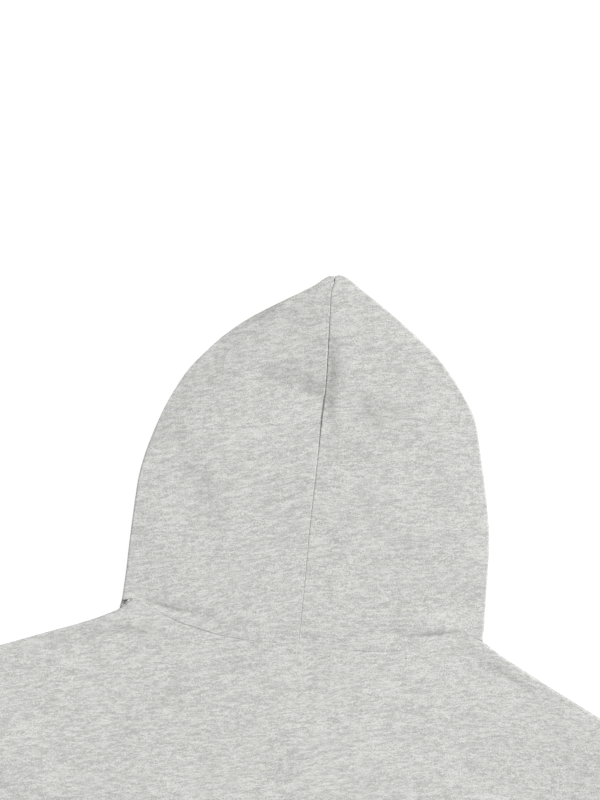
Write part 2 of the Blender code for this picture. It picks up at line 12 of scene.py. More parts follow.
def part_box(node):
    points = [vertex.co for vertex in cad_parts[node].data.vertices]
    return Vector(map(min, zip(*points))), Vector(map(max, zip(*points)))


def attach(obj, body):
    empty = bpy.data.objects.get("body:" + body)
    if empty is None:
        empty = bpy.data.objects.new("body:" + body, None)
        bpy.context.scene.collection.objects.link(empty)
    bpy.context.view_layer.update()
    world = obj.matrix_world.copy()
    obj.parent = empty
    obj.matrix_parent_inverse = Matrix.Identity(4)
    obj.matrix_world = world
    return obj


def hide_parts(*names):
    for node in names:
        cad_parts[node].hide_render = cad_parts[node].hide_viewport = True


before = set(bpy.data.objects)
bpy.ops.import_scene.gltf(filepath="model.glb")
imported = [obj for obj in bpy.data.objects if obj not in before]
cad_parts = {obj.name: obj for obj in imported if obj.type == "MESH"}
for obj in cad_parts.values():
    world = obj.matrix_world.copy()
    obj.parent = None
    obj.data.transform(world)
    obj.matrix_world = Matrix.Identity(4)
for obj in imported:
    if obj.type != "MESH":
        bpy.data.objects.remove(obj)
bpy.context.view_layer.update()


# Back: one panel of brushed-back fleece, cut with dropped shoulders. Its sides and shoulders fold over to the
# fronts, and its neck, armholes and hem end in seams whose edges roll down into a fine groove.
MM = 0.001
CROWN_Y = 296.2            # the hood's highest point
NECK = Vector((0.0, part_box("hood_left")[1].y - CROWN_Y * MM, 0.0))   # the neck seam's middle, in metres
SIDES = {"left": -1, "right": 1}
WALL = 1.5                 # thickness of one layer
MID = 4.0                  # height of a folded edge
BODY_LOFT = 3.4            # how far the back rises above its folds
FIRST_RISE = 0.78          # share of that rise in the fold's own rounding
FOLD_ROUND = 1.5           # how far in from the fold the rounding reaches
FOLD_EASE = 34.0           # and how far in the rest of the rise
NECK_POINT = (131.0, 22.4)
SHOULDER_START = {"left": 138.0, "right": 144.0}   # up to here, the hood lies flush against the shoulder
UNDERARM = (302.0, -300.0)
HEM_SEAM_Y = -600.0
HEM_SIDE = (300.0, HEM_SEAM_Y)
HEM_LENGTH = 65.0
GAP = 0.3                  # between pieces at a seam
NECK_GAP = 0.1             # and at the neck seam
# How far an edge rolls down at a seam, and how far in from the seam it starts to
NECK_ROLL = (0.25, 1.1)
ARMHOLE_ROLL = (1.3, 2.2)
HEM_ROLL = (1.2, 2.5)
# The shoulder's folded edge: x, then y on the left and on the right
SHOULDER = (
    (131.0, 22.6, 22.2),
    (138.0, 21.5, 20.2),
    (141.7, 17.8, 18.8),
    (145.9, 13.3, 16.4),
    (150.0, 10.7, 13.9),
    (156.0, 7.6, 10.2),
    (164.0, 3.5, 5.6),
    (174.0, -0.8, 0.5),
    (182.0, -4.1, -3.6),
    (205.0, -13.0, -15.1),
    (238.0, -26.0, -31.1),
    (262.0, -34.0, -42.2),
    (285.0, -43.0, -54.0),
)
# The back neck seam: x, then y on the left and on the right
BACK_NECK = (
    (0.0, 0.0, 0.0),
    (28.0, -1.0, -0.4),
    (48.0, -0.7, -0.2),
    (66.0, 0.9, 0.9),
    (81.0, 3.9, 3.6),
    (97.0, 7.4, 8.2),
    (112.0, 12.6, 14.8),
    (124.0, 18.3, 20.2),
    (131.0, 22.6, 22.4),
)
# The sleeve's outer edge beyond the shoulder: length of each stretch and its angle below level
SLEEVE_BENDS = (
    (55.0, 31.0), (65.0, 42.0), (80.0, 50.0), (100.0, 52.0), (100.0, 52.0), (72.0, 52.0), (28.0, 55.0),
)
SLEEVE_ANGLE = math.radians(52.0)
SLEEVE_END = 124.0         # the sleeve's width before its last stretch
CUFF_SEAM = 104.0          # and at the cuff's seam
# Soft troughs and ridges of the back: how far each leans to the left of its way, how round its bottom is,
# then x, y, half-width and rise along it. One ridge crosses the neck seam onto the hood
NECK_RIDGE = (0.0, 2, (0, 3, 22, 0), (30, 4, 24, 1.4), (92, 8, 24, 1.4), (130, 14, 18, 0.5), (150, 18, 12, 0))
BODY_CREASES = (
    (-0.4, 2, (-208, -30, 11, 0), (-184, -22, 12, -2.2), (-158, -13, 11, -4.2), (-138, -7.5, 10, -4.4),
     (-122, -5.5, 8, -2.0), (-102, -4, 8, 0)),
    (-0.63, 2, (124, 9, 10, 0), (134, 5, 13, -1.4), (147, -1, 14, -2.3), (166, -10, 14, -2.3),
     (184, -20, 13, -1.4), (204, -31, 13, 0)),
    NECK_RIDGE,
    (0.0, 2, (-300, -74, 30, 0), (-210, -66, 34, -2.4), (-110, -60, 34, -2.4), (-30, -58, 30, 0)),
    (0.0, 2, (60, -66, 26, 0), (140, -62, 30, -1.2), (232, -84, 28, 0)),
    (0.2, 2, (-236, -118, 12, 0), (-180, -142, 18, 1.2), (-112, -150, 20, 0)),
    (0.2, 2, (104, -132, 12, 0), (150, -120, 16, 0.8), (214, -92, 16, 0)),
    (0.3, 2, (322, -300, 7, 0), (300, -297, 7, 4.5), (262, -284, 9, 6.2), (224, -262, 11, 3.8),
     (186, -232, 14, 0)),
    (-0.3, 2, (320, -312, 7, 0), (300, -318, 7, 4.0), (262, -330, 9, 5.4), (214, -334, 12, 3.0),
     (160, -326, 16, 0)),
    (0.3, 2, (-322, -299, 7, 0), (-300, -298, 7, 4.2), (-258, -276, 9, 6.4), (-222, -248, 11, 3.6),
     (-190, -214, 14, 0)),
    (-0.3, 2, (-320, -314, 7, 0), (-300, -322, 7, 4.0), (-256, -338, 9, 5.2), (-206, -346, 12, 2.6),
     (-150, -338, 16, 0)),
    (0.35, 2, (-286, -206, 9, 0), (-236, -204, 11, 3.0), (-170, -222, 13, 2.2), (-104, -252, 16, 0)),
    (-0.3, 2, (288, -190, 9, 0), (240, -192, 11, 2.6), (182, -210, 13, 2.4), (128, -246, 16, 0)),
    (0.3, 2, (-292, -428, 9, 0), (-226, -456, 13, 4.0), (-150, -476, 14, 2.4), (-84, -480, 16, 0)),
    (-0.3, 2, (288, -404, 9, 0), (216, -440, 12, 4.2), (140, -470, 14, 2.6), (70, -482, 16, 0)),
    (0.3, 2, (-96, -342, 14, 0), (-20, -350, 16, 3.0), (56, -374, 15, 2.4), (118, -398, 16, 0)),
    (0.2, 2, (-268, -548, 10, 0), (-176, -540, 13, 3.2), (-72, -552, 13, 2.6), (14, -546, 12, 0)),
    (-0.2, 2, (54, -556, 11, 0), (136, -542, 13, 2.8), (228, -552, 12, 2.4), (286, -560, 10, 0)),
    (0.2, 2, (40, -598, 7, 3.4), (50, -572, 8, 3.0), (68, -520, 11, 0)),
    (-0.2, 2, (-118, -598, 7, 3.2), (-126, -572, 8, 2.6), (-146, -522, 11, 0)),
    (0.0, 2, (-32, -598, 6, 2.6), (-30, -576, 8, 2.2), (-22, -540, 10, 0)),
    (0.2, 2, (190, -598, 6, 3.0), (200, -574, 8, 2.6), (222, -534, 10, 0)),
    (-0.2, 2, (-222, -598, 6, 3.2), (-230, -572, 8, 2.4), (-244, -530, 10, 0)),
)
CREASE_EASE = 16.0         # how far above the hem's seam its creases reach their full depth
# Painted shade where the back lies in a crease: the same, with how much shade is painted
BODY_PAINTED_SHADE = (
    (0.0, 2, (-196, -18, 5, 0), (-170, -10, 5, 0.03), (-146, -2, 5, 0.10), (-134, 0.5, 4, 0.06),
     (-124, 2, 4, 0)),
)
# The cloth is lifted over the zip's slider, which lies under it: how high, then from where to where in x, y
BACK_RAISE = (3.2, (12.0, 270.0), (-420.0, -104.0, -70.0, 14.0))


def smooth(t):
    """A soft step from 0 to 1."""
    t = np.clip(t, 0.0, 1.0)
    return t * t * (3.0 - 2.0 * t)


def curve(points, steps=8):
    """A dense line through the points, rounded between them."""
    p = np.array(points, float)
    p = np.vstack([2 * p[0] - p[1], p, 2 * p[-1] - p[-2]])
    t = np.linspace(0.0, 1.0, steps, endpoint=False)[:, None]
    parts = [
        b + 0.5 * ((c - a) * t + (2 * a - 5 * b + 4 * c - d) * t**2 + (3 * b - a - 3 * c + d) * t**3)
        for a, b, c, d in zip(p, p[1:], p[2:], p[3:])
    ]
    return np.vstack(parts + [p[-2:-1]])


def run_of(line):
    """How far along a line each of its points is."""
    return np.concatenate([[0.0], np.cumsum(np.linalg.norm(np.diff(line, axis=0), axis=1))])


def along(line, shares):
    """Points at these shares of a line's length."""
    run = run_of(line)
    at = np.asarray(shares, float) * run[-1]
    return np.stack([np.interp(at, run, line[:, k]) for k in range(line.shape[1])], axis=-1)


def stations(length, pitches):
    """Places along a length, as shares of it. Their pitch is given at some places and changes evenly between
    them."""
    places = [0.0]
    while places[-1] < length:
        places.append(places[-1] + float(np.interp(places[-1], *zip(*pitches))))
    return np.array(places) / places[-1]


def read(table, at, side="left"):
    """A column of a table, rounded between its rows."""
    rows = np.array(table, float)
    line = curve(rows[:, (0, 1 if side == "left" or rows.shape[1] == 2 else 2)])
    return np.interp(at, line[:, 0], line[:, 1])


def sleeve_edges(side):
    """Outer and inner edge of the sleeve from the armhole to the cuff's seam, with matching points."""
    outer = [(SHOULDER[-1][0], SHOULDER[-1][1 + (side == "right")])]
    for length, angle in SLEEVE_BENDS:
        a = math.radians(angle)
        outer.append((outer[-1][0] + length * math.cos(a), outer[-1][1] - length * math.sin(a)))
    across = np.array((-math.sin(SLEEVE_ANGLE), -math.cos(SLEEVE_ANGLE)))
    above = np.array(outer[-2]) + SLEEVE_END * across
    end = np.array(outer[-1]) + CUFF_SEAM * across
    shares = np.linspace(0.0, 1.0, len(SLEEVE_BENDS))
    inner = [np.array(UNDERARM) * (1 - t) + above * t for t in shares] + [end]
    scale = np.array((SIDES[side], 1.0))
    return curve(outer) * scale, curve(inner) * scale


def body_outline(side):
    """The folded edges of the body and the sleeve on one side, as two lines."""
    sign = SIDES[side]
    outer, inner = sleeve_edges(side)
    xs = np.linspace(SHOULDER_START[side], SHOULDER[-1][0], 32)
    shoulder = np.column_stack([sign * xs, read(SHOULDER, xs, side)])
    below = [(sign * HEM_SIDE[0], HEM_SEAM_Y), (sign * HEM_SIDE[0], HEM_SEAM_Y - HEM_LENGTH)]
    return [np.vstack([shoulder, outer[1:]]), np.vstack([inner[::-1], below])]


def distance(x, y, lines, longest=6.0):
    """Distance of plan points from the nearest of some lines."""
    x, y = np.asarray(x, float), np.asarray(y, float)
    pieces = []
    for line in lines:
        even = along(line, np.linspace(0.0, 1.0, max(2, int(run_of(line)[-1] / longest))))
        pieces.append(np.column_stack([even[:-1], even[1:]]))
    ends = np.vstack(pieces)
    a, step = ends[:, :2], ends[:, 2:] - ends[:, :2]
    square = (step**2).sum(-1)
    flat = np.column_stack([x.ravel(), y.ravel()])
    found = []
    for part in np.array_split(flat, max(1, len(flat) // 4000)):
        away = part[:, None, :] - a
        t = np.clip((away * step).sum(-1) / square, 0.0, 1.0)
        found.append(np.linalg.norm(away - t[..., None] * step, axis=-1).min(-1))
    return np.concatenate(found).reshape(x.shape)


def relief(x, y, creases):
    """Rise of the cloth over its creases."""
    rise = np.zeros_like(x)
    for lean, power, *line in creases:
        line = curve(line, 6)
        a, b = line[:-1], line[1:]
        reach = 4.0 * line[:, 2].max()
        low, high = line.min(0) - reach, line.max(0) + reach
        near = (x > low[0]) & (x < high[0]) & (y > low[1]) & (y < high[1])
        step = b[:, :2] - a[:, :2]
        away = np.stack([x[near], y[near]], axis=-1)[:, None, :] - a[:, :2]
        t = np.clip((away * step).sum(-1) / (step**2).sum(-1), 0.0, 1.0)
        off = away - t[..., None] * step
        far = np.linalg.norm(off, axis=-1)
        k = far.argmin(1)
        nearest = np.arange(len(k)), k
        t, off, far = t[nearest], off[nearest], far[nearest]
        width = a[k, 2] + (b[k, 2] - a[k, 2]) * t
        height = a[k, 3] + (b[k, 3] - a[k, 3]) * t
        side = np.sign(step[k, 0] * off[:, 1] - step[k, 1] * off[:, 0])
        rise[near] += height * np.exp(-((far / (width * (1.0 + lean * side))) ** power))
    return rise


def unevenness(x, y):
    """The slow unevenness of cloth that was smoothed out by hand: waves of a height, a course and a start."""
    waves = (
        (0.32, 0.031, 0.017, 0.4), (0.26, -0.022, 0.043, 1.9), (0.20, 0.058, -0.031, 4.2),
        (0.14, 0.019, 0.083, 2.6), (0.10, 0.104, 0.051, 5.1), (0.08, -0.091, 0.117, 0.9),
    )
    return sum(size * np.sin(kx * x + ky * y + turn) for size, kx, ky, turn in waves)


def dome(d, across, power=2.6):
    """Rise from a folded edge to the flat inside it, from 0 to 1."""
    t = np.clip(1.0 - d / across, 0.0, 1.0)
    return np.sqrt(1.0 - t**power)


def fold_rise(d):
    """The share of the full rise that is reached at a distance from a folded edge."""
    slow = 1.0 - np.clip(1.0 - d / FOLD_EASE, 0.0, 1.0) ** 2
    return FIRST_RISE * dome(d, FOLD_ROUND, 2.2) + (1.0 - FIRST_RISE) * slow


def rolled(s, depth, across):
    """How far a seam's edge rolls down at a distance s from the seam."""
    t = np.clip(1.0 - s / across, 0.0, 1.0)
    return depth * (1.0 - np.sqrt(1.0 - t * t))


def raised(x, y, lift):
    """How far the cloth is lifted over the slider."""
    height, (near, far), (foot, full, still, head) = lift
    over = 1.0 - smooth((np.abs(x) - near) / (far - near))
    return height * over * smooth((y - foot) / (full - foot)) * (1.0 - smooth((y - still) / (head - still)))


BODY_LINES = body_outline("left") + body_outline("right")


def back_height(x, y, d):
    """Height of the back's upper face, where d is the distance from its folds."""
    creased = relief(x, y, BODY_CREASES) * smooth((y - HEM_SEAM_Y + 1.0) / CREASE_EASE)
    return MID + fold_rise(d) * (BODY_LOFT + raised(x, y, BACK_RAISE) + unevenness(x, y) + creased)


def half_width(side, y):
    """The body's half-width: the armhole's line above the underarm, the side's fold below."""
    end = SHOULDER[-1]
    ys = (HEM_SIDE[1], UNDERARM[1], end[1 + (side == "right")])
    return np.interp(y, ys, (HEM_SIDE[0], UNDERARM[0], end[0]))


def placed(name, data):
    """A new object in the scene."""
    thing = bpy.data.objects.new(name, data)
    bpy.context.scene.collection.objects.link(thing)
    return thing


def cloth(name, grid, wall, grain, look, ring=False, shade=None, pinched=None):
    """A layer of cloth whose outside passes through a grid of points, rows by columns by xyz. grain holds the
    points' places on the cut piece: along the knit's courses, across them, and the height. shade says how
    much shade is painted on each point's colour, and pinched how far its wall is squeezed thin."""
    rows, columns = grid.shape[:2]
    index = np.arange(rows * columns).reshape(rows, columns)
    if ring:
        index = np.column_stack([index, index[:, :1]])
    quads = np.stack([index[:-1, :-1], index[:-1, 1:], index[1:, 1:], index[1:, :-1]], axis=-1).reshape(-1, 4)
    mesh = bpy.data.meshes.new(name)
    mesh.from_pydata((grid.reshape(-1, 3) * MM + np.array(NECK)).tolist(), [], quads.tolist())
    mesh.update()
    # The outside faces up above the folds and down below them
    facing = sum(f.area * f.normal.z * (f.center.z - MID * MM) for f in mesh.polygons)
    if facing < 0:
        mesh.flip_normals()
    place = mesh.attributes.new("grain", "FLOAT_VECTOR", "POINT")
    place.data.foreach_set("vector", (grain.reshape(-1, 3) * MM).astype(np.float32).ravel())
    # The painted shade goes on the points as an attribute, which darkens the fleece's colour
    if shade is not None:
        painted_shade_layer = mesh.attributes.new("painted_shade", "FLOAT", "POINT")
        painted_shade_layer.data.foreach_set("value", shade.astype(np.float32).ravel())
    mesh.materials.append(look)
    mesh.shade_smooth()
    thing = placed(name, mesh)
    shell = thing.modifiers.new("wall", "SOLIDIFY")
    shell.thickness = wall * MM
    shell.offset = -1.0
    if pinched is not None:
        thin = thing.vertex_groups.new(name="pinched")
        for point in np.flatnonzero(pinched > 0.0):
            thin.add([int(point)], float(pinched.flat[point]), "REPLACE")
        shell.vertex_group = thin.name
        shell.invert_vertex_group = True
    return thing


def turned(x, y, z, degrees, shift):
    """Places on a cut piece whose courses run at an angle to the plan's x, shifted to a part of the knit that
    no other piece takes."""
    c, s = math.cos(math.radians(degrees)), math.sin(math.radians(degrees))
    return np.stack([x * c + y * s + shift[0], y * c - x * s + shift[1], z], axis=-1)


class Value:
    """One output of a shader node. Arithmetic on it adds Math nodes, and into() links it to a socket."""

    def __init__(self, tree, socket):
        self.tree, self.socket = tree, socket

    def math(self, operation, *others):
        sockets = dict(enumerate((self,) + others))
        return add_node(self.tree, "ShaderNodeMath", {"operation": operation}, sockets)

    def __add__(self, other):
        return self.math("ADD", other)

    def __sub__(self, other):
        return self.math("SUBTRACT", other)

    def __mul__(self, other):
        return self.math("MULTIPLY", other)

    def into(self, shader, name):
        self.tree.links.new(self.socket, shader.inputs[name])


def add_node(tree, kind, settings, sockets, output=0):
    """Adds a node: first its own settings, then the values or links of its sockets."""
    node = tree.nodes.new(kind)
    for name, setting in settings.items():
        setattr(node, name, setting)
    for key, given in sockets.items():
        if isinstance(given, Value):
            tree.links.new(given.socket, node.inputs[key])
        else:
            node.inputs[key].default_value = given
    return Value(tree, node.outputs[output])


def mixed(tree, share, low, high):
    """A colour between two others."""
    return add_node(tree, "ShaderNodeMix", {"data_type": "RGBA"}, {0: share, 6: low, 7: high}, 2)


def scaled(vector, factors):
    """A vector or a colour times another, part by part."""
    return add_node(vector.tree, "ShaderNodeVectorMath", {"operation": "MULTIPLY"}, {0: vector, 1: factors})


def noise(vector, cell, detail=1.0, rough=0.5):
    """Noise from 0 to 1 whose patches are about as long, wide and high as cell, in millimetres."""
    factors = tuple(1.0 / (size * MM) for size in cell)
    sockets = {"Vector": scaled(vector, factors), "Scale": 1.0, "Detail": detail, "Roughness": rough}
    return add_node(vector.tree, "ShaderNodeTexNoise", {}, sockets)


def surface(name, roughness, metallic=0.0, sheen=0.0):
    """A plain material, with its node tree and its shader."""
    made = bpy.data.materials.new(name)
    made.use_nodes = True
    shader = made.node_tree.nodes["Principled BSDF"]
    shader.inputs["Roughness"].default_value = roughness
    shader.inputs["Metallic"].default_value = metallic
    shader.inputs["Sheen Weight"].default_value = sheen
    return made, made.node_tree, shader


def bumped(height, strength, depth, shader):
    """Fine relief in the surface, as deep as depth at most, in millimetres."""
    sockets = {"Strength": strength, "Distance": depth * MM, "Height": height}
    add_node(height.tree, "ShaderNodeBump", {}, sockets).into(shader, "Normal")


# Painted shade: the colour's factor where none is painted, and where it is painted fully
UNSHADED_TINT = (1.0, 1.0, 1.0, 1.0)
PAINTED_SHADE_TINT = (0.54, 0.55, 0.53, 1.0)   # painted shade: how much darker the colour is made where shade falls in creases, gaps and folds
COOL = (0.987, 0.992, 1.0, 1.0)    # the two casts of the grey, fibre by fibre
WARM = (1.0, 0.993, 0.977, 1.0)
FLEECE_DARK = (0.461, 0.4615, 0.4535, 1.0)
FLEECE_LIGHT = (0.757, 0.7585, 0.735, 1.0)
FLEECE_STREAK = 9.0                # length of its longest streaks
NAP = 0.4


def heather(name, dark, light, streak):
    """Heather knit: pale yarn with darker fibres that lie in short streaks along the courses."""
    made, tree, shader = surface(name, 0.92, sheen=0.12)
    place = add_node(tree, "ShaderNodeAttribute", {"attribute_name": "grain"}, {}, "Vector")
    # Long and short streaks, single fibres, clouds and specks: their sizes, then how much each counts
    long = noise(place, (streak, 2.4, 2.4), 1.0, 0.5)
    short = noise(place, (streak * 0.42, 1.25, 1.25), 1.0, 0.6)
    fibre = noise(place, (1.6, 0.8, 0.8))
    cloud = noise(place, (34.0, 17.0, 17.0))
    speck = noise(place, (0.7, 0.7, 0.7), 0.0)
    coarse = (long - 0.5) * 1.3 + (short - 0.5) * 1.2 + (cloud - 0.5) * 0.35
    mix = coarse + (fibre - 0.5) * 0.9 + (speck - 0.5) * 1.7 + 0.5
    share = mix.math("MINIMUM", 1.0).math("MAXIMUM", 0.0)
    tone = (noise(place, (4.2, 2.2, 2.2)) - 0.5) * 2.5 + 0.5
    # Painted shade: each mesh's points say how much shade is painted on the cloth's colour
    painted_shade_share = add_node(tree, "ShaderNodeAttribute", {"attribute_name": "painted_shade"}, {}, "Fac")
    yarn = scaled(mixed(tree, share, dark, light), mixed(tree, tone, COOL, WARM))
    scaled(yarn, mixed(tree, painted_shade_share, UNSHADED_TINT, PAINTED_SHADE_TINT)).into(shader, "Base Color")
    bumped(long * 0.3 + short * 0.5 + fibre * 0.5, 0.35, NAP, shader)
    return made


fleece = heather("heather_fleece", FLEECE_DARK, FLEECE_LIGHT, FLEECE_STREAK)


def worn(thing, body, slot, *nodes):
    """Puts a piece in place of CAD nodes, on their body. slot, the finish's name, is not used."""
    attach(thing, body)
    if nodes:
        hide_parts(*nodes)


def back_top(x):
    """The panel's upper edge: the neck seam in the middle, the shoulders' folds outside."""
    y = np.empty_like(x)
    for side, here in (("left", x <= 0), ("right", x > 0)):
        at = np.abs(x[here])
        neck, shoulder = read(BACK_NECK, at, side) - NECK_GAP / 2, read(SHOULDER, at, side)
        y[here] = np.where(at < NECK_POINT[0], neck, shoulder)
    return y


def body_x(share, y):
    """x at a share of the half-width, for arrays of the same shape."""
    return np.where(share > 0, half_width("right", y), half_width("left", y)) * share


# How fine the panel's grid is, across it and up it: place, pitch there. It is finest at folds and seams.
PITCH_ACROSS = (
    (0, 0.35), (6, 1.6), (16, 3.8), (144, 3.8), (150, 1.1), (172, 1.1), (180, 3.8),
    (420, 3.8), (428, 1.1), (450, 1.1), (456, 3.8), (584, 3.8), (594, 1.6), (600, 0.35),
)
PITCH_UP = ((0, 0.4), (8, 2.0), (20, 4.0), (570, 4.0), (594, 1.8), (606, 0.7), (618, 0.6), (620, 0.3))
columns = stations(600.0, PITCH_ACROSS) * 2.0 - 1.0
rows = stations(620.0, PITCH_UP)
share, up = np.meshgrid(columns, rows, indexing="ij")
top = back_top(columns * SHOULDER[-1][0])[:, None]
y = HEM_SEAM_Y + GAP / 2 + up * (top - HEM_SEAM_Y)
x = body_x(share, y)
d = distance(x, y, BODY_LINES)
z = back_height(x, y, d)
z = z - np.where(np.abs(x) < NECK_POINT[0], rolled(top - y, *NECK_ROLL), 0.0)
to_armhole = np.abs(body_x(np.sign(share), y)) - np.abs(x)
z = z - np.where(y > UNDERARM[1], rolled(to_armhole, *ARMHOLE_ROLL), 0.0)
z = np.maximum(z - rolled(y - HEM_SEAM_Y, *HEM_ROLL), MID)
# The courses rise towards the wearer's right, and less so beyond a bend before the right shoulder
LEFT_SLOPE, RIGHT_SLOPE = math.tan(math.radians(12.0)), math.tan(math.radians(4.0))
BEND_X, BEND_WIDTH, BEND = 60.0, 200.0, 0.8
bend = np.maximum(x - BEND_X, 0.0) * smooth((x - BEND_X) / BEND_WIDTH) * BEND
course = y - x * LEFT_SLOPE + (LEFT_SLOPE - RIGHT_SLOPE) * bend
grid, grain = np.stack([x, y, z], axis=-1), np.stack([x, course, z], axis=-1)
# The seam allowance at the hem turns down, at first part of the way, and lies inside the hem band, clear of
# the band's side folds
ALLOWANCE_X, ALLOWANCE_Z = 296.0, 4.6
ALLOWANCE_TURN = 0.6
ALLOWANCE_REACH = (0.8, 4.0)
# Painted shade on the turned-down seam allowance, in the gap inside the hem band
ALLOWANCE_SHADE = 0.9
edge = grid[:, :1]
inset = np.clip(edge[..., :1], -ALLOWANCE_X, ALLOWANCE_X) - edge[..., :1]
allowance = [edge + np.dstack([0 * inset, 0 * inset, ALLOWANCE_Z + 0.1 - edge[..., 2:]]) * ALLOWANCE_TURN]
for away in ALLOWANCE_REACH:
    allowance.insert(0, edge + np.dstack([inset, 0 * inset - away, ALLOWANCE_Z - edge[..., 2:]]))
grid = np.concatenate(allowance + [grid], axis=1)
grain = np.concatenate([grain[:, :1]] * len(allowance) + [grain], axis=1)
# Painted shade: along a crease, and on the seam allowance in the gap inside the hem band
shade = relief(grid[..., 0], grid[..., 1], BODY_PAINTED_SHADE)
shade[:, :len(allowance)] = ALLOWANCE_SHADE
back = cloth("back_panel", grid, WALL, grain, fleece, shade=shade)
worn(back, "garment", "heather_fleece", "back")


# Hood: two mirrored panels of the same fleece, joined by a seam down the middle and sewn to the neck. Each
# panel folds over at its outline and comes back underneath to the face opening's hem.
HOOD_LOFT = 5.4            # how far the hood rises above its folds
HOOD_EASE = 56.0           # how far above the neck seam the hood reaches that height
UNDER_ROUND = 5.5          # how far in from a fold the under layer rounds down to the table
REST = 0.15                # how far the under layer's face stays above the table
ZIP_EDGE_X = 4.5
ZIP_TOP_Y = -68.0
NECK_BOW = 2.2             # how late the front neck's curve turns up towards the neck point
BOW_FADE = 2.2             # how soon the neck seam's bow dies out in the rows above it
SEAM_ROLL_WIDTH = 1.4      # how far in from the centre seam its edges start to roll
FRONT_RAISE = (4.15, (16.0, 75.0), (-180.0, -108.0, -50.0, 14.0))   # the lift over the slider, as the back's
# The hood's folded outline: y, then half-width on the left and on the right
HOOD = (
    (30.0, 145.1, 145.2),
    (45.0, 144.6, 144.5),
    (60.0, 144.5, 143.8),
    (75.0, 144.2, 143.4),
    (90.0, 143.8, 142.7),
    (105.0, 143.3, 141.1),
    (120.0, 142.4, 138.5),
    (135.0, 140.0, 135.2),
    (150.0, 136.3, 132.0),
    (165.0, 131.8, 128.0),
    (180.0, 126.4, 124.4),
    (195.0, 119.5, 119.6),
    (210.0, 111.2, 110.2),
    (225.0, 99.3, 98.7),
    (240.0, 85.6, 84.8),
    (255.0, 67.7, 66.3),
    (270.0, 45.0, 45.7),
    (285.0, 20.8, 22.7),
    (292.0, 12.2, 12.4),
)
# Its bottom edge from the neck point along the shoulder, and the start of its side: x, y
HOOD_FOOT = {
    "left": ((131.0, 22.7), (138.2, 21.65), (142.0, 18.0), (146.4, 13.2)),
    "right": ((131.0, 22.4), (138.0, 20.3), (141.8, 18.9), (145.2, 17.0)),
}
HOOD_SIDE = {
    "left": ((146.6, 14.6), (145.8, 19.0), (145.4, 23.0)),
    "right": ((145.1, 19.0), (144.8, 22.0)),
}
# Where it ends at the crown's notch, in the plan's own x
CROWN = {
    "left": (
        (-10.5, 293.3), (-9.2, 294.2), (-7.8, 295.0), (-6.4, 295.3), (-5.2, 295.35), (-4.2, 295.25),
        (-3.35, 295.1),
    ),
    "right": (
        (8.6, 294.15), (6.6, 295.2), (4.7, 296.05), (2.6, 296.65), (0.4, 296.65), (-1.5, 296.0),
        (-2.5, 295.45), (-3.1, 295.1),
    ),
}
NOTCH_GAP = 0.15           # how far short of the notch's end both panels stop
# Near the notch the wall thins, so that the panels fit side by side: by how much, and from and to what
# distance
NOTCH_THIN, NOTCH_NEAR, NOTCH_FAR = 0.93, 1.5, 6.0
# The seam down the middle: y, x, how deep its edges roll in, half its gap
CENTRE_SEAM = (
    (-2.0, -1.2, 0.15, 0.04),
    (37.0, -1.3, 0.15, 0.04),
    (70.0, -1.7, 0.25, 0.05),
    (97.0, -2.0, 0.40, 0.06),
    (144.0, -1.5, 0.45, 0.06),
    (170.0, -1.4, 0.5, 0.06),
    (188.0, -1.2, 0.6, 0.08),
    (206.0, -1.0, 1.0, 0.18),
    (225.0, -1.7, 0.8, 0.17),
    (243.0, -2.6, 0.7, 0.17),
    (256.0, -3.3, 0.6, 0.09),
    (268.0, -3.9, 0.5, 0.07),
    (277.0, -4.4, 0.5, 0.08),
    (282.0, -4.6, 0.5, 0.08),
    (285.0, -4.2, 0.5, 0.08),
    (288.0, -3.4, 0.6, 0.11),
    (291.0, -3.2, 0.7, 0.25),
    (297.0, -3.2, 0.6, 0.10),
)
BROW_Y = 235.0             # where the face opening's edge meets the centre seam
# The edge of the face opening underneath, from the zip's top to the brow: x, y
FACE_EDGE = (
    (4.5, -67.7), (14.0, -45.0), (34.0, 0.0), (52.0, 45.0), (61.0, 95.0), (60.0, 140.0), (48.0, 185.0),
    (28.0, 218.0), (9.0, 233.5),
)
# At the left, a strip along the outline lies a little lower, painted with shade: y, how wide, how much shade
SLIVER = (
    (238.0, 0.0, 0.0),
    (244.0, 2.0, 0.15),
    (250.0, 5.0, 0.25),
    (256.0, 5.4, 0.34),
    (262.0, 4.6, 0.34),
    (268.0, 3.3, 0.27),
    (276.0, 1.4, 0.08),
    (282.0, 0.6, 0.0),
    (286.0, 0.0, 0.0),
)
SLIVER_DROP, SLIVER_STEP = 0.4, 1.2   # how far it lies below, and over what width it steps down
SLIVER_SHADE = (0.4, 1.1)  # where its painted shade starts, and over what width it deepens
PAINTED_SHADE_BAND = 8.0            # how far in from the fold the strip's and the corner's shade is painted
# The left panel's corner is pressed down between the hood and the shoulder and painted with shade, to the
# left of an x and below a sloping line
LOW_FOLD = 2.75            # height of its fold there
CORNER_LOFT = 0.3          # and how far it rises above the fold
CORNER_X, CORNER_Y, CORNER_SLOPE = -138.0, 21.7, 0.19
CORNER_START = 136.8
CORNER_EDGES = (0.6, 0.9)  # how soft its two edges are
# The left panel's seam allowance: how far it reaches under the other panel, how far the cloth has to rise for
# it to do so, and how far below the notch it starts to narrow
LIP_REACH, LIP_ROOM, LIP_END = 3.4, 3.0, 5.0
# How far in the grid's lines lie from the centre seam and from the fold on the upper face, then from the face
# opening and from the fold underneath: closest where the cloth bends most
SEAM_LINES = (0, 0.3, 0.7, 1.2, 1.8, 2.6, 4.2)
FOLD_LINES = (0, 0.12, 0.4, 0.85, 1.4, 2, 2.6, 3.2, 3.8, 4.4, 5, 5.8, 7, 9)
FACE_LINES = (0, 0.5, 2, 6)
UNDER_LINES = (0, 0.12, 0.4, 0.9, 1.6, 2.6, 4, 6, 9)
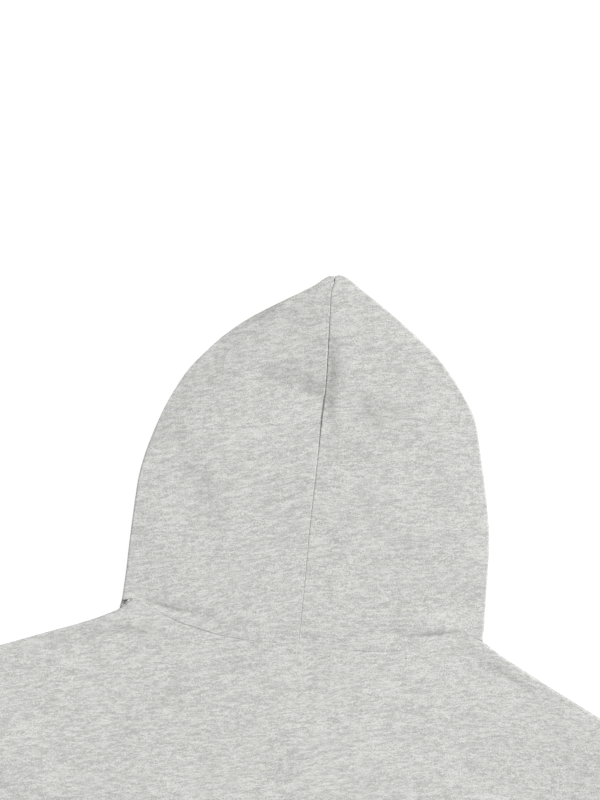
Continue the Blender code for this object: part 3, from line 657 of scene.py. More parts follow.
# Troughs and ridges of the hood, written as the back's. Both panels share a broad swell
HOOD_SWELL = (0.0, 2, (0, 60, 70, 0.8), (0, 120, 80, 2.4), (-6, 190, 80, 2.6), (-8, 240, 60, 1.6))
HOOD_CREASES = {
    "left": (
        HOOD_SWELL,
        (-0.45, 1.3, (-133, 23.8, 2.0, -0.2), (-124, 21.2, 2.6, -0.9), (-114, 19.2, 2.8, -1.4),
         (-107, 18.1, 2.8, -1.5), (-98, 16.6, 2.8, -1.1), (-88, 16.4, 3.0, -0.5), (-70, 17, 5, 0)),
        (0.2, 2, (-128, 29, 7, 0), (-108, 25, 7, 0.8), (-80, 24, 8, 0.8), (-50, 24, 9, 0)),
        (0.0, 2, (-154, 118, 14, 0), (-147, 144, 20, -3.4), (-135, 178, 22, -5.4), (-110, 217, 22, -5.4),
         (-79, 250, 20, -4.6), (-38, 277, 14, -2.8), (-16, 288, 8, 0)),
        (-0.55, 2, (-74, 214, 32, 0), (-54, 209, 36, -2.0), (-36, 203, 36, -4.3), (-19, 198.5, 29, -5.1),
         (-7, 196, 22, -4.7), (0, 195, 18, -4.4)),
        (0.0, 2, (-80, 228, 18, 0), (-50, 222, 24, -1.6), (-22, 217, 26, -2.0), (-2, 212, 24, -1.8)),
        (-0.3, 2, (-130, 168, 16, 0), (-109, 134, 18, -1.9), (-95, 108, 18, -1.9), (-83, 84, 16, -1.6),
         (-73, 56, 14, -0.6), (-68, 40, 12, 0)),
    ),
    "right": (
        HOOD_SWELL,
        (-0.4, 1.3, (60, 16.0, 5, 0), (72, 15.6, 4.6, -0.4), (84, 15.6, 3.6, -0.8), (97, 16.4, 2.8, -1.4),
         (109, 18.6, 2.6, -2.2), (120, 21.6, 2.4, -1.5), (131, 24.6, 2, -0.2)),
        (0.2, 2, (66, 23, 8, 0), (86, 23, 8, 1.3), (108, 26, 8, 1.3), (130, 33, 7, 0)),
        NECK_RIDGE,
        (0.0, 2, (-2, 254, 4, 0), (-2, 240, 5, -1.3), (-1, 224, 6.5, -3.0), (-1, 206, 6.5, -3.7),
         (-1, 194, 7, -3.7), (0, 182, 8, -2.2), (4, 168, 10, -0.9), (12, 152, 10, 0)),
        (0.0, 2, (14, 204, 7, 0), (26, 186, 9, -1.2), (62, 170, 12, -0.8), (90, 172, 12, 0)),
    ),
}
# Painted shade in creases, hollows and the centre seam's groove: the same, with how much shade is painted
HOOD_PAINTED_SHADE = {
    "left": (
        (0.2, 2, (-134, 25.2, 1.6, 0), (-126, 22.4, 1.8, 0.08), (-114, 20.2, 1.8, 0.16),
         (-107, 18.9, 1.8, 0.14), (-99, 17.4, 1.8, 0.06), (-88, 17.2, 2.5, 0)),
        (0.0, 2, (-66, 220, 8, 0), (-40, 214, 9, 0.07), (-18, 209, 10, 0.10), (-2, 205, 9, 0.10)),
        (0.0, 2, (-90, 200, 14, 0), (-66, 202, 16, 0.15), (-44, 205, 14, 0.15), (-24, 212, 10, 0)),
        (0.0, 2, (-50, 178, 14, 0), (-60, 155, 14, 0.09), (-62, 130, 14, 0.10), (-60, 102, 12, 0)),
        (0.0, 2, (-84, 106, 12, 0), (-92, 84, 12, 0.10), (-92, 66, 12, 0.08), (-90, 46, 10, 0)),
        (0.0, 2, (-143, 130, 10, 0), (-132, 162, 14, 0.10), (-116, 196, 15, 0.13), (-88, 224, 13, 0.07),
         (-44, 250, 12, 0.05), (-18, 266, 14, 0.11), (0, 272, 12, 0.05)),
        # painted shade in the centre seam's groove near the notch
        (0.0, 2, (-3.2, 289.5, 0.8, 0), (-3.3, 291, 0.8, 0.5), (-3.3, 293.5, 0.8, 0.5),
         (-3.4, 295, 0.6, 0.4)),
    ),
    "right": (
        (0.2, 2, (80, 17.2, 2.4, 0), (97, 18.2, 2.0, 0.05), (110, 20.2, 1.6, 0.34), (117, 21.8, 1.6, 0.30),
         (126, 24.2, 1.8, 0.04), (132, 27, 2, 0)),
        (0.0, 2, (-1, 250, 3, 0), (0, 236, 4, 0.08), (2, 222, 6, 0.22), (2, 206, 6, 0.14),
         (3, 192, 6, 0.06), (5, 178, 6, 0)),
        (0.0, 2, (4, 280, 10, 0), (20, 264, 14, 0.10), (40, 246, 12, 0.06), (58, 230, 10, 0)),
        (0.0, 2, (18, 204, 10, 0), (38, 196, 12, 0.15), (58, 192, 12, 0.10), (80, 196, 12, 0)),
        (0.0, 2, (18, 192, 8, 0), (32, 180, 11, 0.15), (46, 164, 12, 0.12), (60, 148, 12, 0)),
        # painted shade in the centre seam's groove near the notch
        (0.0, 2, (-3.1, 289.5, 0.8, 0), (-3.0, 291, 0.8, 0.5), (-3.0, 293.5, 0.8, 0.5),
         (-3.1, 295, 0.6, 0.4)),
    ),
}


def seam_line(side, y):
    """x of one panel's edge along the centre seam."""
    line = curve(CENTRE_SEAM)
    return np.interp(y, line[:, 0], line[:, 1]) + SIDES[side] * np.interp(y, line[:, 0], line[:, 3])


def hood_foot(side):
    """The bottom edge of the hood from the neck point along the shoulder's fold."""
    return curve([(SIDES[side] * x, y) for x, y in HOOD_FOOT[side]])


def hood_outline(side):
    """The hood's fold from the shoulder to the crown's notch."""
    sign = SIDES[side]
    up = [(sign * x, y) for x, y in HOOD_FOOT[side][-1:] + HOOD_SIDE[side]]
    up += [(sign * row[1 + (side == "right")], row[0]) for row in HOOD]
    return curve(up + list(CROWN[side]))


def front_neck_y(x):
    """The front neck seam, from the zip's top to the neck point."""
    share = np.clip((x - ZIP_EDGE_X) / (NECK_POINT[0] - ZIP_EDGE_X), 0.0, 1.0)
    return ZIP_TOP_Y + (NECK_POINT[1] - ZIP_TOP_Y) * share**NECK_BOW


def sheet_between(inner, outer, bottom, v, across):
    """Plan points of rows that run from an inner line to an outer one. The first row follows the bottom
    line."""
    a, b = along(inner, v)[:, None, :], along(outer, v)[:, None, :]
    rows = []
    for share, start, end in zip(v, a[:, 0], b[:, 0]):
        u = across(float(np.linalg.norm(end - start)))[:, None]
        bow = along(bottom, u[:, 0]) - (bottom[0] * (1 - u) + bottom[-1] * u)
        rows.append(start * (1 - u) + end * u + bow * (1 - share) ** BOW_FADE)
    return np.array(rows)


def strip(near, far, between):
    """A function that gives the places across a row, as shares of its length: at set distances from its ends,
    and evenly between them."""
    near, far = np.array(near), np.array(far)

    def places(length):
        length = max(length, 0.01)
        squeeze = min(1.0, length / (2.0 * (near[-1] + far[-1])))
        a, b = near * squeeze, length - far[::-1] * squeeze
        return np.concatenate([a, np.linspace(a[-1], b[0], between + 2)[1:-1], b]) / length
    return places


def sliver(side, y):
    """Width of the strip along the outline that lies lower and is painted with shade."""
    table = np.array(SLIVER)
    return np.interp(y, table[:, 0], table[:, 1]) if side == "left" else np.zeros_like(y)


def pressed_shaded_corner(side, x, y):
    """Where the left panel's corner is pressed down between the hood and the shoulder, and painted with
    shade, from 0 to 1.
    """
    if side == "right":
        return np.zeros_like(x)
    top = CORNER_Y + CORNER_SLOPE * (x - CORNER_X)
    return smooth((top - y) / CORNER_EDGES[0]) * smooth((-x - CORNER_START) / CORNER_EDGES[1])


def fold_height(side, x, y):
    """Height of the hood's folded edge."""
    return MID + (LOW_FOLD - MID) * pressed_shaded_corner(side, x, y)


def hood_top_height(side, x, y, d):
    above = y - read(BACK_NECK, np.minimum(np.abs(x), NECK_POINT[0]), side)
    ease = smooth(above / HOOD_EASE)
    settled = BODY_LOFT + (HOOD_LOFT - BODY_LOFT) * ease + unevenness(x + 90.0, y) * (0.5 + 0.5 * ease)
    settled = settled + relief(x, y, HOOD_CREASES[side])
    z = MID + fold_rise(d) * (settled - SLIVER_DROP * smooth((sliver(side, y) - d) / SLIVER_STEP))
    table = curve(CENTRE_SEAM)
    depth = np.interp(y, table[:, 0], table[:, 2])
    z = z - rolled(np.abs(x - seam_line(side, y)), depth, SEAM_ROLL_WIDTH)
    z = z - rolled(above, *NECK_ROLL) * (np.abs(x) < NECK_POINT[0])
    corner_z = fold_height(side, x, y) + CORNER_LOFT * dome(d, FOLD_ROUND)
    return z + (corner_z - z) * pressed_shaded_corner(side, x, y)


def hood_under_height(side, x, y, d):
    return fold_height(side, x, y) * (1.0 - dome(d, UNDER_ROUND)) + REST + raised(x, y, FRONT_RAISE)


HOOD_ANGLES = {"left": 16.0, "right": 8.0}   # of the courses, in degrees
for side, sign in SIDES.items():
    outline, foot = hood_outline(side), hood_foot(side)
    length = run_of(outline)[-1]
    at_crown = ((length - 24, 2.5), (length - 8, 0.9), (length, 0.4))
    v = stations(length, ((0, 0.3), (2, 0.6), (16, 0.7), (30, 2.5)) + at_crown) * (1.0 - NOTCH_GAP / length)
    ys = np.linspace(0.2, outline[-1, 1], 90)
    seam = np.column_stack([seam_line(side, ys), ys])
    xs = np.linspace(abs(seam[0, 0]), NECK_POINT[0], 60)
    neck = np.column_stack([sign * xs, read(BACK_NECK, xs, side) + NECK_GAP / 2])
    neck = np.vstack([seam[:1], neck[1:-1], foot])
    seam[-1] = outline[-1]
    top = sheet_between(seam, outline, neck, v, strip(SEAM_LINES, FOLD_LINES, 48))
    xs = np.linspace(ZIP_EDGE_X, NECK_POINT[0], 60)
    neck = np.vstack([np.column_stack([sign * xs, front_neck_y(xs) + GAP / 2])[:-1], foot])
    ys = np.linspace(BROW_Y, outline[-1, 1], 30)
    brow = np.column_stack([seam_line(side, ys), ys])
    face = np.vstack([curve([(sign * x, y) for x, y in FACE_EDGE]), brow])
    face[-1] = outline[-1]
    neck[0] = face[0]
    under = sheet_between(face, outline, neck, v, strip(FACE_LINES, UNDER_LINES, 22))
    folds = [foot[np.abs(foot[:, 0]) > SHOULDER_START[side]], outline]
    d_top = distance(top[..., 0], top[..., 1], folds, 2.0)
    d_under = distance(under[..., 0], under[..., 1], folds, 2.0)
    d_top[:, -1] = d_under[:, -1] = 0.0
    z_top = hood_top_height(side, top[..., 0], top[..., 1], d_top)
    z_under = hood_under_height(side, under[..., 0], under[..., 1], d_under)
    over = np.concatenate([top, z_top[..., None]], axis=-1)
    below = np.concatenate([under, z_under[..., None]], axis=-1)[:, -2::-1]
    grid = np.concatenate([over, below], axis=1)
    # Painted shade: on the strip along the left outline, and on the pressed corner, within a band of the fold
    shade = np.interp(top[..., 1], *np.array(SLIVER).T[[0, 2]])
    shade = shade * smooth((sliver(side, top[..., 1]) - d_top + SLIVER_SHADE[0]) / SLIVER_SHADE[1])
    shade = np.maximum(pressed_shaded_corner(side, top[..., 0], top[..., 1]), shade) * (d_top < PAINTED_SHADE_BAND)
    shade = shade + relief(top[..., 0], top[..., 1], HOOD_PAINTED_SHADE[side])
    shade = np.hstack([shade, np.zeros(below.shape[:2])])
    if side == "left":
        # Its seam allowance turns down and lies under the other panel's edge, fully painted with shade in the
        # gap
        edge = over[:, :1]
        lip = np.concatenate([edge[..., :2], (edge[..., 2:] + MID) / 2], axis=-1)
        room = smooth((edge[..., 2:] - MID) / LIP_ROOM)
        reach = room * smooth((outline[-1, 1] - 1.0 - edge[..., 1:2]) / LIP_END) * (LIP_REACH, 0.0, 0.0)
        grid = np.concatenate([lip + reach, lip + 0.5 * reach, lip, grid], axis=1)
        shade = np.hstack([np.ones((len(grid), 3)), shade])
    grain = turned(grid[..., 0], grid[..., 1], grid[..., 2], HOOD_ANGLES[side], (700.0 * sign, 300.0))
    notch = np.hypot(grid[..., 0] - outline[-1, 0], grid[..., 1] - outline[-1, 1])
    pinched = NOTCH_THIN * smooth((NOTCH_FAR - notch) / (NOTCH_FAR - NOTCH_NEAR))
    half = cloth(f"hood_panel_{side}", grid, WALL, grain, fleece, shade=shade, pinched=pinched)
    worn(half, "garment", "heather_fleece", f"hood_{side}")


# Fronts: two panels of the same fleece under the back, their edges meeting at the zip. Shoulders and sides
# are closed with the back's by seams that lie on the folds.
UNDER_ROLL = (0.8, 2.0)    # how far an edge rolls up at a seam, and over what width
FRONT_ANGLE = 3.0          # of the courses, in degrees
FRONT_ACROSS = ((0, 0.4), (6, 1.5), (16, 4.6), (282, 4.6), (294, 1.4), (300, 0.35))
FRONT_UP = ((0, 0.4), (8, 1.8), (20, 4.8), (580, 4.8), (604, 1.6), (620, 0.35))


def under_height(x, y, d):
    return MID * (1.0 - dome(d, UNDER_ROUND)) + REST + raised(x, y, FRONT_RAISE)


for side, sign in SIDES.items():
    columns = stations(300.0, FRONT_ACROSS)
    share, up = np.meshgrid(columns, stations(620.0, FRONT_UP), indexing="ij")
    at = ZIP_EDGE_X + columns * (SHOULDER[-1][0] - ZIP_EDGE_X)
    in_neck = at < NECK_POINT[0]
    top = np.where(in_neck, front_neck_y(at) - GAP / 2, read(SHOULDER, at, side))[:, None]
    y = HEM_SEAM_Y + GAP / 2 + up * (top - HEM_SEAM_Y)
    x = sign * (ZIP_EDGE_X + share * (half_width(side, y) - ZIP_EDGE_X))
    z = under_height(x, y, distance(x, y, BODY_LINES))
    z = z + rolled(half_width(side, y) - np.abs(x), *UNDER_ROLL) * (y > UNDERARM[1])
    z = z + np.maximum(rolled(top - y, *UNDER_ROLL) * in_neck[:, None], rolled(y - HEM_SEAM_Y, *UNDER_ROLL))
    grid = np.stack([x, y, np.minimum(z, MID - 0.1 + raised(x, y, FRONT_RAISE))], axis=-1)
    grain = turned(x, y, z, FRONT_ANGLE * sign, (1500.0 * sign, -900.0))
    front = cloth(f"front_panel_{side}", grid, WALL, grain, fleece)
    worn(front, "garment", "heather_fleece", f"{side}_front")


# Sleeves: long tubes of the same fleece, each sewn to the body's edge and closed under the arm. They lie
# flat, folded along their outer and inner edges, and are gathered a little into the cuffs.
CUFF_ROLL = (1.2, 2.2)
# Troughs and ridges of the sleeves, written as the back's
SLEEVE_CREASES = {
    "left": (
        (0.3, 2, (-303, -304, 6, 4), (-336, -282, 8, 6.7), (-372, -268, 11, 4), (-412, -262, 12, 0)),
        (-0.2, 2, (-306, -312, 6, 2.7), (-352, -318, 8, 5.5), (-398, -334, 11, 2.9), (-436, -352, 11, 0)),
        (0.2, 2, (-318, -120, 12, 0), (-380, -196, 16, 2.9), (-450, -258, 16, 3.8), (-516, -338, 14, 0)),
        (0.3, 2, (-384, -378, 6, 2.9), (-420, -352, 8, 4.6), (-452, -312, 11, 2.7), (-470, -280, 11, 0)),
        (-0.3, 2, (-437, -421, 6, 2.7), (-470, -396, 8, 4.4), (-506, -366, 10, 0)),
        (0.2, 2, (-484, -250, 6, 2.3), (-462, -276, 9, 3.8), (-438, -312, 11, 0)),
        (0.0, 2, (-566, -358, 6, 1.7), (-540, -380, 8, 3.4), (-514, -404, 9, 0)),
    ),
    "right": (
        (-0.3, 2, (303, -305, 6, 4.4), (340, -288, 9, 7.1), (384, -284, 11, 3.8), (424, -290, 12, 0)),
        (0.3, 2, (306, -313, 6, 2.7), (346, -328, 8, 4.6), (384, -352, 10, 2.3), (412, -368, 11, 0)),
        (-0.2, 2, (332, -146, 12, 0), (392, -214, 16, 3.4), (458, -272, 15, 2.9), (530, -360, 13, 0)),
        (0.3, 2, (398, -388, 6, 2.9), (430, -358, 8, 5), (468, -326, 11, 2.3), (492, -300, 11, 0)),
        (-0.2, 2, (452, -431, 6, 2.3), (488, -408, 7, 4), (520, -390, 10, 0)),
        (0.3, 2, (454, -212, 6, 2.3), (440, -246, 9, 4), (420, -284, 11, 0)),
        (0.0, 2, (548, -328, 6, 2.1), (528, -352, 8, 2.9), (500, -378, 9, 0)),
    ),
}
ARMHOLE_EASE = 14.0        # how far from the armhole these reach their full depth
SLEEVE_LENGTH = sum(length for length, angle in SLEEVE_BENDS)
SLEEVE_PITCH = ((0, 0.4), (5, 1.6), (16, 4.2), (430, 4.2), (470, 2.2), (492, 1.2), (500, 0.4))
SLEEVE_COURSES = 38.0      # they run across the sleeve, at this angle
# Ripples where the cloth is drawn into the cuff: pitch, height and start of each, and how far they reach
GATHERS = ((14.5, 0.55, 1.1), (9.7, 0.35, 2.3), (22.0, 0.30, 0.2))
GATHER_REACH = 20.0
# The seam allowance inside the cuff: how high the upper layer's lies, and how far its two lines are from the
# seam
CUFF_ALLOWANCE_Z = 4.2
CUFF_ALLOWANCE = (0.1, 3.2)
# Painted shade on the upper layer's allowance, in the gap at the cuff's seam
CUFF_ALLOWANCE_SHADE = 0.6
ALLOWANCE_EASE = 6.0       # how far in from the folds it reaches its full width
CUT_BACK = 0.08            # and the share of the width that is left at the folds
CLEAR_REACH = 8.0          # how far down from the armhole the sleeve keeps clear of the body


def gathered(across, away):
    """Ripples that die out away from a seam into which the cloth is drawn."""
    waves = sum(size * np.sin(across * 2.0 * math.pi / pitch + turn) for pitch, size, turn in GATHERS)
    return waves * np.exp(-((away / GATHER_REACH) ** 2))


for side, sign in SIDES.items():
    outer, inner = sleeve_edges(side)
    v = stations(SLEEVE_LENGTH, SLEEVE_PITCH)
    order = np.interp(v, run_of(outer) / run_of(outer)[-1], np.arange(len(outer)))
    numbers = np.arange(len(outer))
    a, b = (np.stack([np.interp(order, numbers, e[:, k]) for k in (0, 1)], axis=-1) for e in (outer, inner))
    clear_of_body = sign * GAP * np.clip(1.0 - v * SLEEVE_LENGTH / CLEAR_REACH, 0.0, 1.0)
    a[:, 0] += clear_of_body
    b[:, 0] += clear_of_body
    u = strip(UNDER_LINES, UNDER_LINES, 44)
    shares = np.array([u(float(np.linalg.norm(q - p))) for p, q in zip(a, b)])[..., None]
    plan = a[:, None] * (1.0 - shares) + b[:, None] * shares
    x, y = plan[..., 0], plan[..., 1]
    d = distance(x, y, BODY_LINES)
    d[:, 0] = d[:, -1] = 0.0
    armhole = distance(x, y, [np.array([outer[0], inner[0]])])
    cuff_seam = distance(x, y, [np.array([outer[-1], inner[-1]])])
    across = shares[..., 0] * np.linalg.norm(b - a, axis=-1)[:, None]
    creased = relief(x, y, BODY_CREASES) + relief(x, y, SLEEVE_CREASES[side]) * smooth(armhole / ARMHOLE_EASE)
    settled = BODY_LOFT + unevenness(x, y) + creased + gathered(across, cuff_seam)
    z_top = MID + fold_rise(d) * settled
    z_top = np.maximum(z_top - rolled(armhole, *ARMHOLE_ROLL) - rolled(cuff_seam, *CUFF_ROLL), MID)
    z_top[:, 0] = z_top[:, -1] = MID
    z_under = MID * (1.0 - dome(d, UNDER_ROUND)) + REST
    z_under = np.minimum(z_under + rolled(armhole, *UNDER_ROLL) + rolled(cuff_seam, *UNDER_ROLL), MID)
    over = np.stack([x, y, z_top], axis=-1)
    below = np.stack([x, y, z_under], axis=-1)[:, -2:0:-1]
    grid = np.concatenate([over, below], axis=1)
    # The seam allowance: at the cuff the upper layer's turns down and lies inside it, and the under layer's
    # turns up. Both narrow away towards the folds
    edge, flat_part = grid[-1:], smooth(d[-1:] / ALLOWANCE_EASE)
    upper = np.concatenate([flat_part, 0.0 * flat_part[:, -2:0:-1]], axis=1)[..., None]
    lower = np.concatenate([0.0 * flat_part, flat_part[:, -2:0:-1]], axis=1)[..., None]
    onward = np.array((sign * math.cos(SLEEVE_ANGLE), -math.sin(SLEEVE_ANGLE), 0.0))
    upward = np.array((0.0, 0.0, 1.0))
    for away in CUFF_ALLOWANCE:
        turned_down = (1.0 - CUT_BACK) * away * onward + (CUFF_ALLOWANCE_Z - edge[..., 2:]) * upward
        turned_up = 0.5 * away * upward
        line = edge + CUT_BACK * away * onward + upper * turned_down + lower * turned_up
        grid = np.concatenate([grid, line])
    # Painted shade on the upper layer's allowance inside the cuff's seam
    shade = np.zeros(grid.shape[:2])
    shade[-len(CUFF_ALLOWANCE):] = CUFF_ALLOWANCE_SHADE * upper[..., 0]
    grain = turned(grid[..., 0], grid[..., 1], grid[..., 2], SLEEVE_COURSES * sign, (2600.0 * sign, 700.0))
    sleeve = cloth(f"sleeve_{side}", grid, WALL, grain, fleece, ring=True, shade=shade)
    worn(sleeve, "garment", "heather_fleece", f"{side}_sleeve")


# Cuffs: short tubes of two-by-two rib, folded double at the wrist, stretched onto the gathered sleeves.
RIB_FOLD = 3.2             # radius of the tube's folds
RIB_WALL = 1.1             # thickness of one layer
RIB_PITCH = 2.9
RIB_DEPTH = 0.42
PER_RIB = 6                # points of the mesh round each rib
RIB_ROLL = (1.1, 2.0)
RIB_TURN = 1.3             # radius of the turn at its folded end
RIB_BACK = (4.0, 14.0)     # how far beyond the turn it comes back inside, line by line
RIB_SECTIONS = ((0, 0.012), (0.2, 0.15), (1, 0.15))
RIB_STREAK = 5.0
# The cuff's width, from its seam to its end: how far from the seam, then the width
CUFF_WIDTHS = ((0.3, 102.0), (6.0, 99.6), (20.0, 97.6), (42.0, 96.4), (65.0, 96.0))
rib = heather("heather_rib", (0.432, 0.432, 0.430, 1.0), (0.705, 0.705, 0.684, 1.0), RIB_STREAK)


def loop_section(half, radius, opening, count):
    """Points round a flattened loop from its opening in the middle of the under side: across and height, and
    the way outward at each."""
    flat = half - radius
    marks = np.cumsum([0.0, flat - opening, math.pi * radius, 2.0 * flat, math.pi * radius, flat - opening])
    s = np.linspace(0.0, marks[-1], count * 4 + 1)
    turn = np.clip((s - marks[1]) / radius, 0.0, math.pi) + np.clip((s - marks[3]) / radius, 0.0, math.pi)
    step = s[1] * np.stack([np.cos(turn), np.sin(turn)], axis=-1)
    place = np.vstack([[0.0, 0.0], np.cumsum((step[1:] + step[:-1]) / 2, axis=0)]) + (opening, 0.0)
    outward = np.stack([np.sin(turn), -np.cos(turn)], axis=-1)
    return place[::4], outward[::4]


def rib_band(name, origin, across, onward, widths, opening, shift):
    """A band of rib from its seam to its folded end, and a little way back inside. across and onward are its
    ways in the plan, widths its width by the distance from the seam, and opening the half-width of the gap in
    its under side. shift moves it to a part of the knit that no other piece takes."""
    start, (length, last) = widths[0][0], widths[-1]
    straight = length - RIB_TURN
    # Each section's distance from the seam, and how far it lies in from the band's outside
    sections = [(start + t * (straight - start), 0.0) for t in stations(1.0, RIB_SECTIONS)]
    for a in np.radians((45, 90, 135, 180)):
        sections.append((straight + RIB_TURN * math.sin(a), RIB_TURN * (1.0 - math.cos(a))))
    sections += [(straight - back, 2.0 * RIB_TURN) for back in RIB_BACK]
    around = 4 * (last / 2 - RIB_FOLD - opening / 2) + 2 * math.pi * RIB_FOLD
    count = round(around / RIB_PITCH) * PER_RIB
    wave = np.cos(np.arange(count + 1) * 2.0 * math.pi / PER_RIB)
    grid = []
    for t, sink in sections:
        half = float(np.interp(t, *zip(*widths))) / 2
        place, outward = loop_section(half, RIB_FOLD, opening, count)
        ribs = RIB_DEPTH * (0.5 * wave - 0.5) * (sink == 0.0)
        shaped = place + outward * (ribs - sink - rolled(t, *RIB_ROLL))[:, None]
        plan = np.array(origin) + shaped[:, :1] * np.array(across) + t * np.array(onward)
        lift = 0.5 * unevenness(plan[:, 0], plan[:, 1]) * smooth(place[:, 1] / RIB_FOLD - 1.0)
        grid.append(np.column_stack([plan, shaped[:, 1] + lift + REST]))
    grid = np.array(grid)
    ring = opening == 0.0
    s = np.linspace(0.0, around, count + 1)
    grain = np.stack([
        np.broadcast_to([[t] for t, sink in sections], grid.shape[:2]) + shift,
        np.broadcast_to(s, grid.shape[:2]),
        grid[..., 2],
    ], axis=-1)
    if ring:
        grid, grain = grid[:, :-1], grain[:, :-1]
    return cloth(name, grid, RIB_WALL, grain, rib, ring=ring)


for side, sign in SIDES.items():
    outer, inner = sleeve_edges(side)
    across = (inner[-1] - outer[-1]) / np.linalg.norm(inner[-1] - outer[-1])
    onward = np.array((sign * math.cos(SLEEVE_ANGLE), -math.sin(SLEEVE_ANGLE)))
    middle = (outer[-1] + inner[-1]) / 2
    cuff = rib_band(f"cuff_{side}", middle, across, onward, CUFF_WIDTHS, 0.0, 400.0 * sign)
    worn(cuff, "garment", "heather_rib", f"{side}_cuff")


# Hem band: one long strip of the same rib, folded double along its free edge, from one side of the zip round
# the back to the other. It draws the body in a little.
HEM_WIDTHS = ((0.3, 597.0), (4.0, 596.0), (24.0, 576.0), (HEM_LENGTH, 564.0))
middle = (0.0, HEM_SEAM_Y)
hem_band = rib_band("hem_band_rib", middle, (1.0, 0.0), (0.0, -1.0), HEM_WIDTHS, ZIP_EDGE_X, 3000.0)
worn(hem_band, "garment", "heather_rib", "hem_band")


# Zip: two woven tapes sewn inside the fronts' edges, each with a coil of nylon wound along it. The teeth of
# the two coils stand half a pitch apart, so that they lock, and the tapes run down inside the hem band.
TAPE_INNER, TAPE_OUTER, TAPE_WALL = 2.2, 15.0, 0.6
TAPE_Z = 1.8               # height of the tape's face, inside the front
TAPE_RIB_Z = 2.9           # and inside the hem band
TAPE_IN_RIB = (-662.0, -640.0, -620.0, HEM_SEAM_Y)   # y of its points there
TOOTH_PITCH = 1.25
TOOTH_Z = 1.15             # height of the coils' middle
CHAIN_FOOT_Y, CHAIN_TOP_Y = -653.0, -84.0
# A tooth from its root on the tape to its head past the middle: x, half-height, half-width
TOOTH = ((2.9, 0.75, 0.30), (0.8, 0.75, 0.30), (-0.35, 0.72, 0.44), (-0.75, 0.35, 0.24))
WEFT_PITCH = 0.9

woven, tree, shader = surface("zip_tape", 0.88, sheen=0.05)
place = add_node(tree, "ShaderNodeAttribute", {"attribute_name": "grain"}, {}, "Vector")
bands = {"wave_type": "BANDS", "bands_direction": "Y"}
weft_sockets = {"Vector": place, "Scale": 0.5 / (WEFT_PITCH * MM), "Distortion": 0.6, "Detail": 1.0}
weft = add_node(tree, "ShaderNodeTexWave", bands, weft_sockets, "Fac")
weave = weft * 0.45 + noise(place, (1.1, 14.0, 14.0)) * 0.7
mixed(tree, weave, (0.41, 0.41, 0.405, 1.0), (0.60, 0.60, 0.592, 1.0)).into(shader, "Base Color")
bumped(weave, 0.5, 0.15, shader)


def mottled(tree, shader, cell, dark, light, detail=1.0):
    """Base colour that varies between two in patches of a size in millimetres. Returns the noise used."""
    place = add_node(tree, "ShaderNodeTexCoord", {}, {}, "Object")
    patches = noise(place, (cell, cell, cell), detail)
    mixed(tree, patches, dark, light).into(shader, "Base Color")
    return patches


nylon, tree, shader = surface("zip_coil", 0.38)
mottled(tree, shader, 3.0, (0.37, 0.37, 0.365, 1.0), (0.44, 0.44, 0.435, 1.0))
shader.inputs["Coat Weight"].default_value = 0.2


def repeated(name, rings, places, look):
    """One mesh made of a small closed shape at many places, each with its own way round in the plan, in
    radians. The shape is given as rings of as many points each."""
    points = np.array(rings, float).reshape(-1, 3)
    count, around = len(rings), len(rings[0])
    faces = [list(range(around))[::-1], list(range((count - 1) * around, count * around))]
    for k in range(count - 1):
        for i in range(around):
            j = (i + 1) % around
            faces.append([k * around + i, k * around + j, (k + 1) * around + j, (k + 1) * around + i])
    x, y, z, turn = np.asarray(places, float).T[..., None]
    c, s = np.cos(turn), np.sin(turn)
    plan_x, plan_y = x + points[:, 0] * c - points[:, 1] * s, y + points[:, 0] * s + points[:, 1] * c
    everywhere = np.stack([plan_x, plan_y, z + points[:, 2]], axis=-1).reshape(-1, 3)
    copied = [[k * len(points) + i for i in face] for k in range(len(places)) for face in faces]
    mesh = bpy.data.meshes.new(name)
    mesh.from_pydata((everywhere * MM + np.array(NECK)).tolist(), [], copied)
    mesh.materials.append(look)
    mesh.shade_smooth()
    return placed(name, mesh)


tape_y = np.concatenate([TAPE_IN_RIB, np.linspace(HEM_SEAM_Y + 8.0, ZIP_TOP_Y - 1.5, 140)])
tape_rise = np.where(tape_y > HEM_SEAM_Y + 1.0, TAPE_Z, TAPE_RIB_Z)
for side, sign in SIDES.items():
    x, y = np.meshgrid(sign * np.linspace(TAPE_INNER, TAPE_OUTER, 5), tape_y, indexing="ij")
    grid = np.stack([x, y, tape_rise + raised(x, y, FRONT_RAISE)], axis=-1)
    tape = cloth(f"zip_tape_{side}_woven", grid, TAPE_WALL, grid, woven)
    worn(tape, "garment", "zip_tape", f"zip_tape_{side}")

turns = np.linspace(0.0, 2.0 * math.pi, 8, endpoint=False)
for side, sign in SIDES.items():
    rings = [[(sign * x, wide * math.sin(a), tall * math.cos(a)) for a in turns] for x, tall, wide in TOOTH]
    ys = np.arange(CHAIN_FOOT_Y + (TOOTH_PITCH / 2 if side == "left" else 0.0), CHAIN_TOP_Y, TOOTH_PITCH)
    places = np.column_stack([0 * ys, ys, TOOTH_Z + raised(0.0 * ys, ys, FRONT_RAISE), 0 * ys])
    coil = repeated(f"zip_coil_{side}", rings, places, nylon)
    worn(coil, "garment", "zip_coil", "zip_chain")


# Zip slider, pull tab, stops and box: die-cast and pressed metal with a plain nickel finish. The pull tab is
# slotted over the slider's bridge and lies towards the hem, under the garment.
BRIGHT_EDGE = 0.16         # bevel of the castings' edges
SLIDER_Y = -86.0
PULL_Z = 2.1               # height of the pull tab's axis
PULL_TILT = math.radians(3.0)
PULL_LENGTH, PULL_HALF = 25.0, 3.0   # its length and half-width
PULL_BAR = 0.6             # half the thickness of its plate, and half the width of the bar at its top
PULL_WAIST = (2.4, -11.0)  # where it is narrowest: half-width, y from the axis
HOLE_RADIUS, HOLE_IN = 1.6, 4.5      # the hole, and how far in from its end
BOX_Y = -663.0             # foot of the box

nickel, tree, shader = surface("zip_metal", 0.3, 1.0)
brushed = mottled(tree, shader, 0.9, (0.60, 0.59, 0.57, 1.0), (0.71, 0.70, 0.68, 1.0), 2.0)
(brushed * 0.16 + 0.24).into(shader, "Roughness")


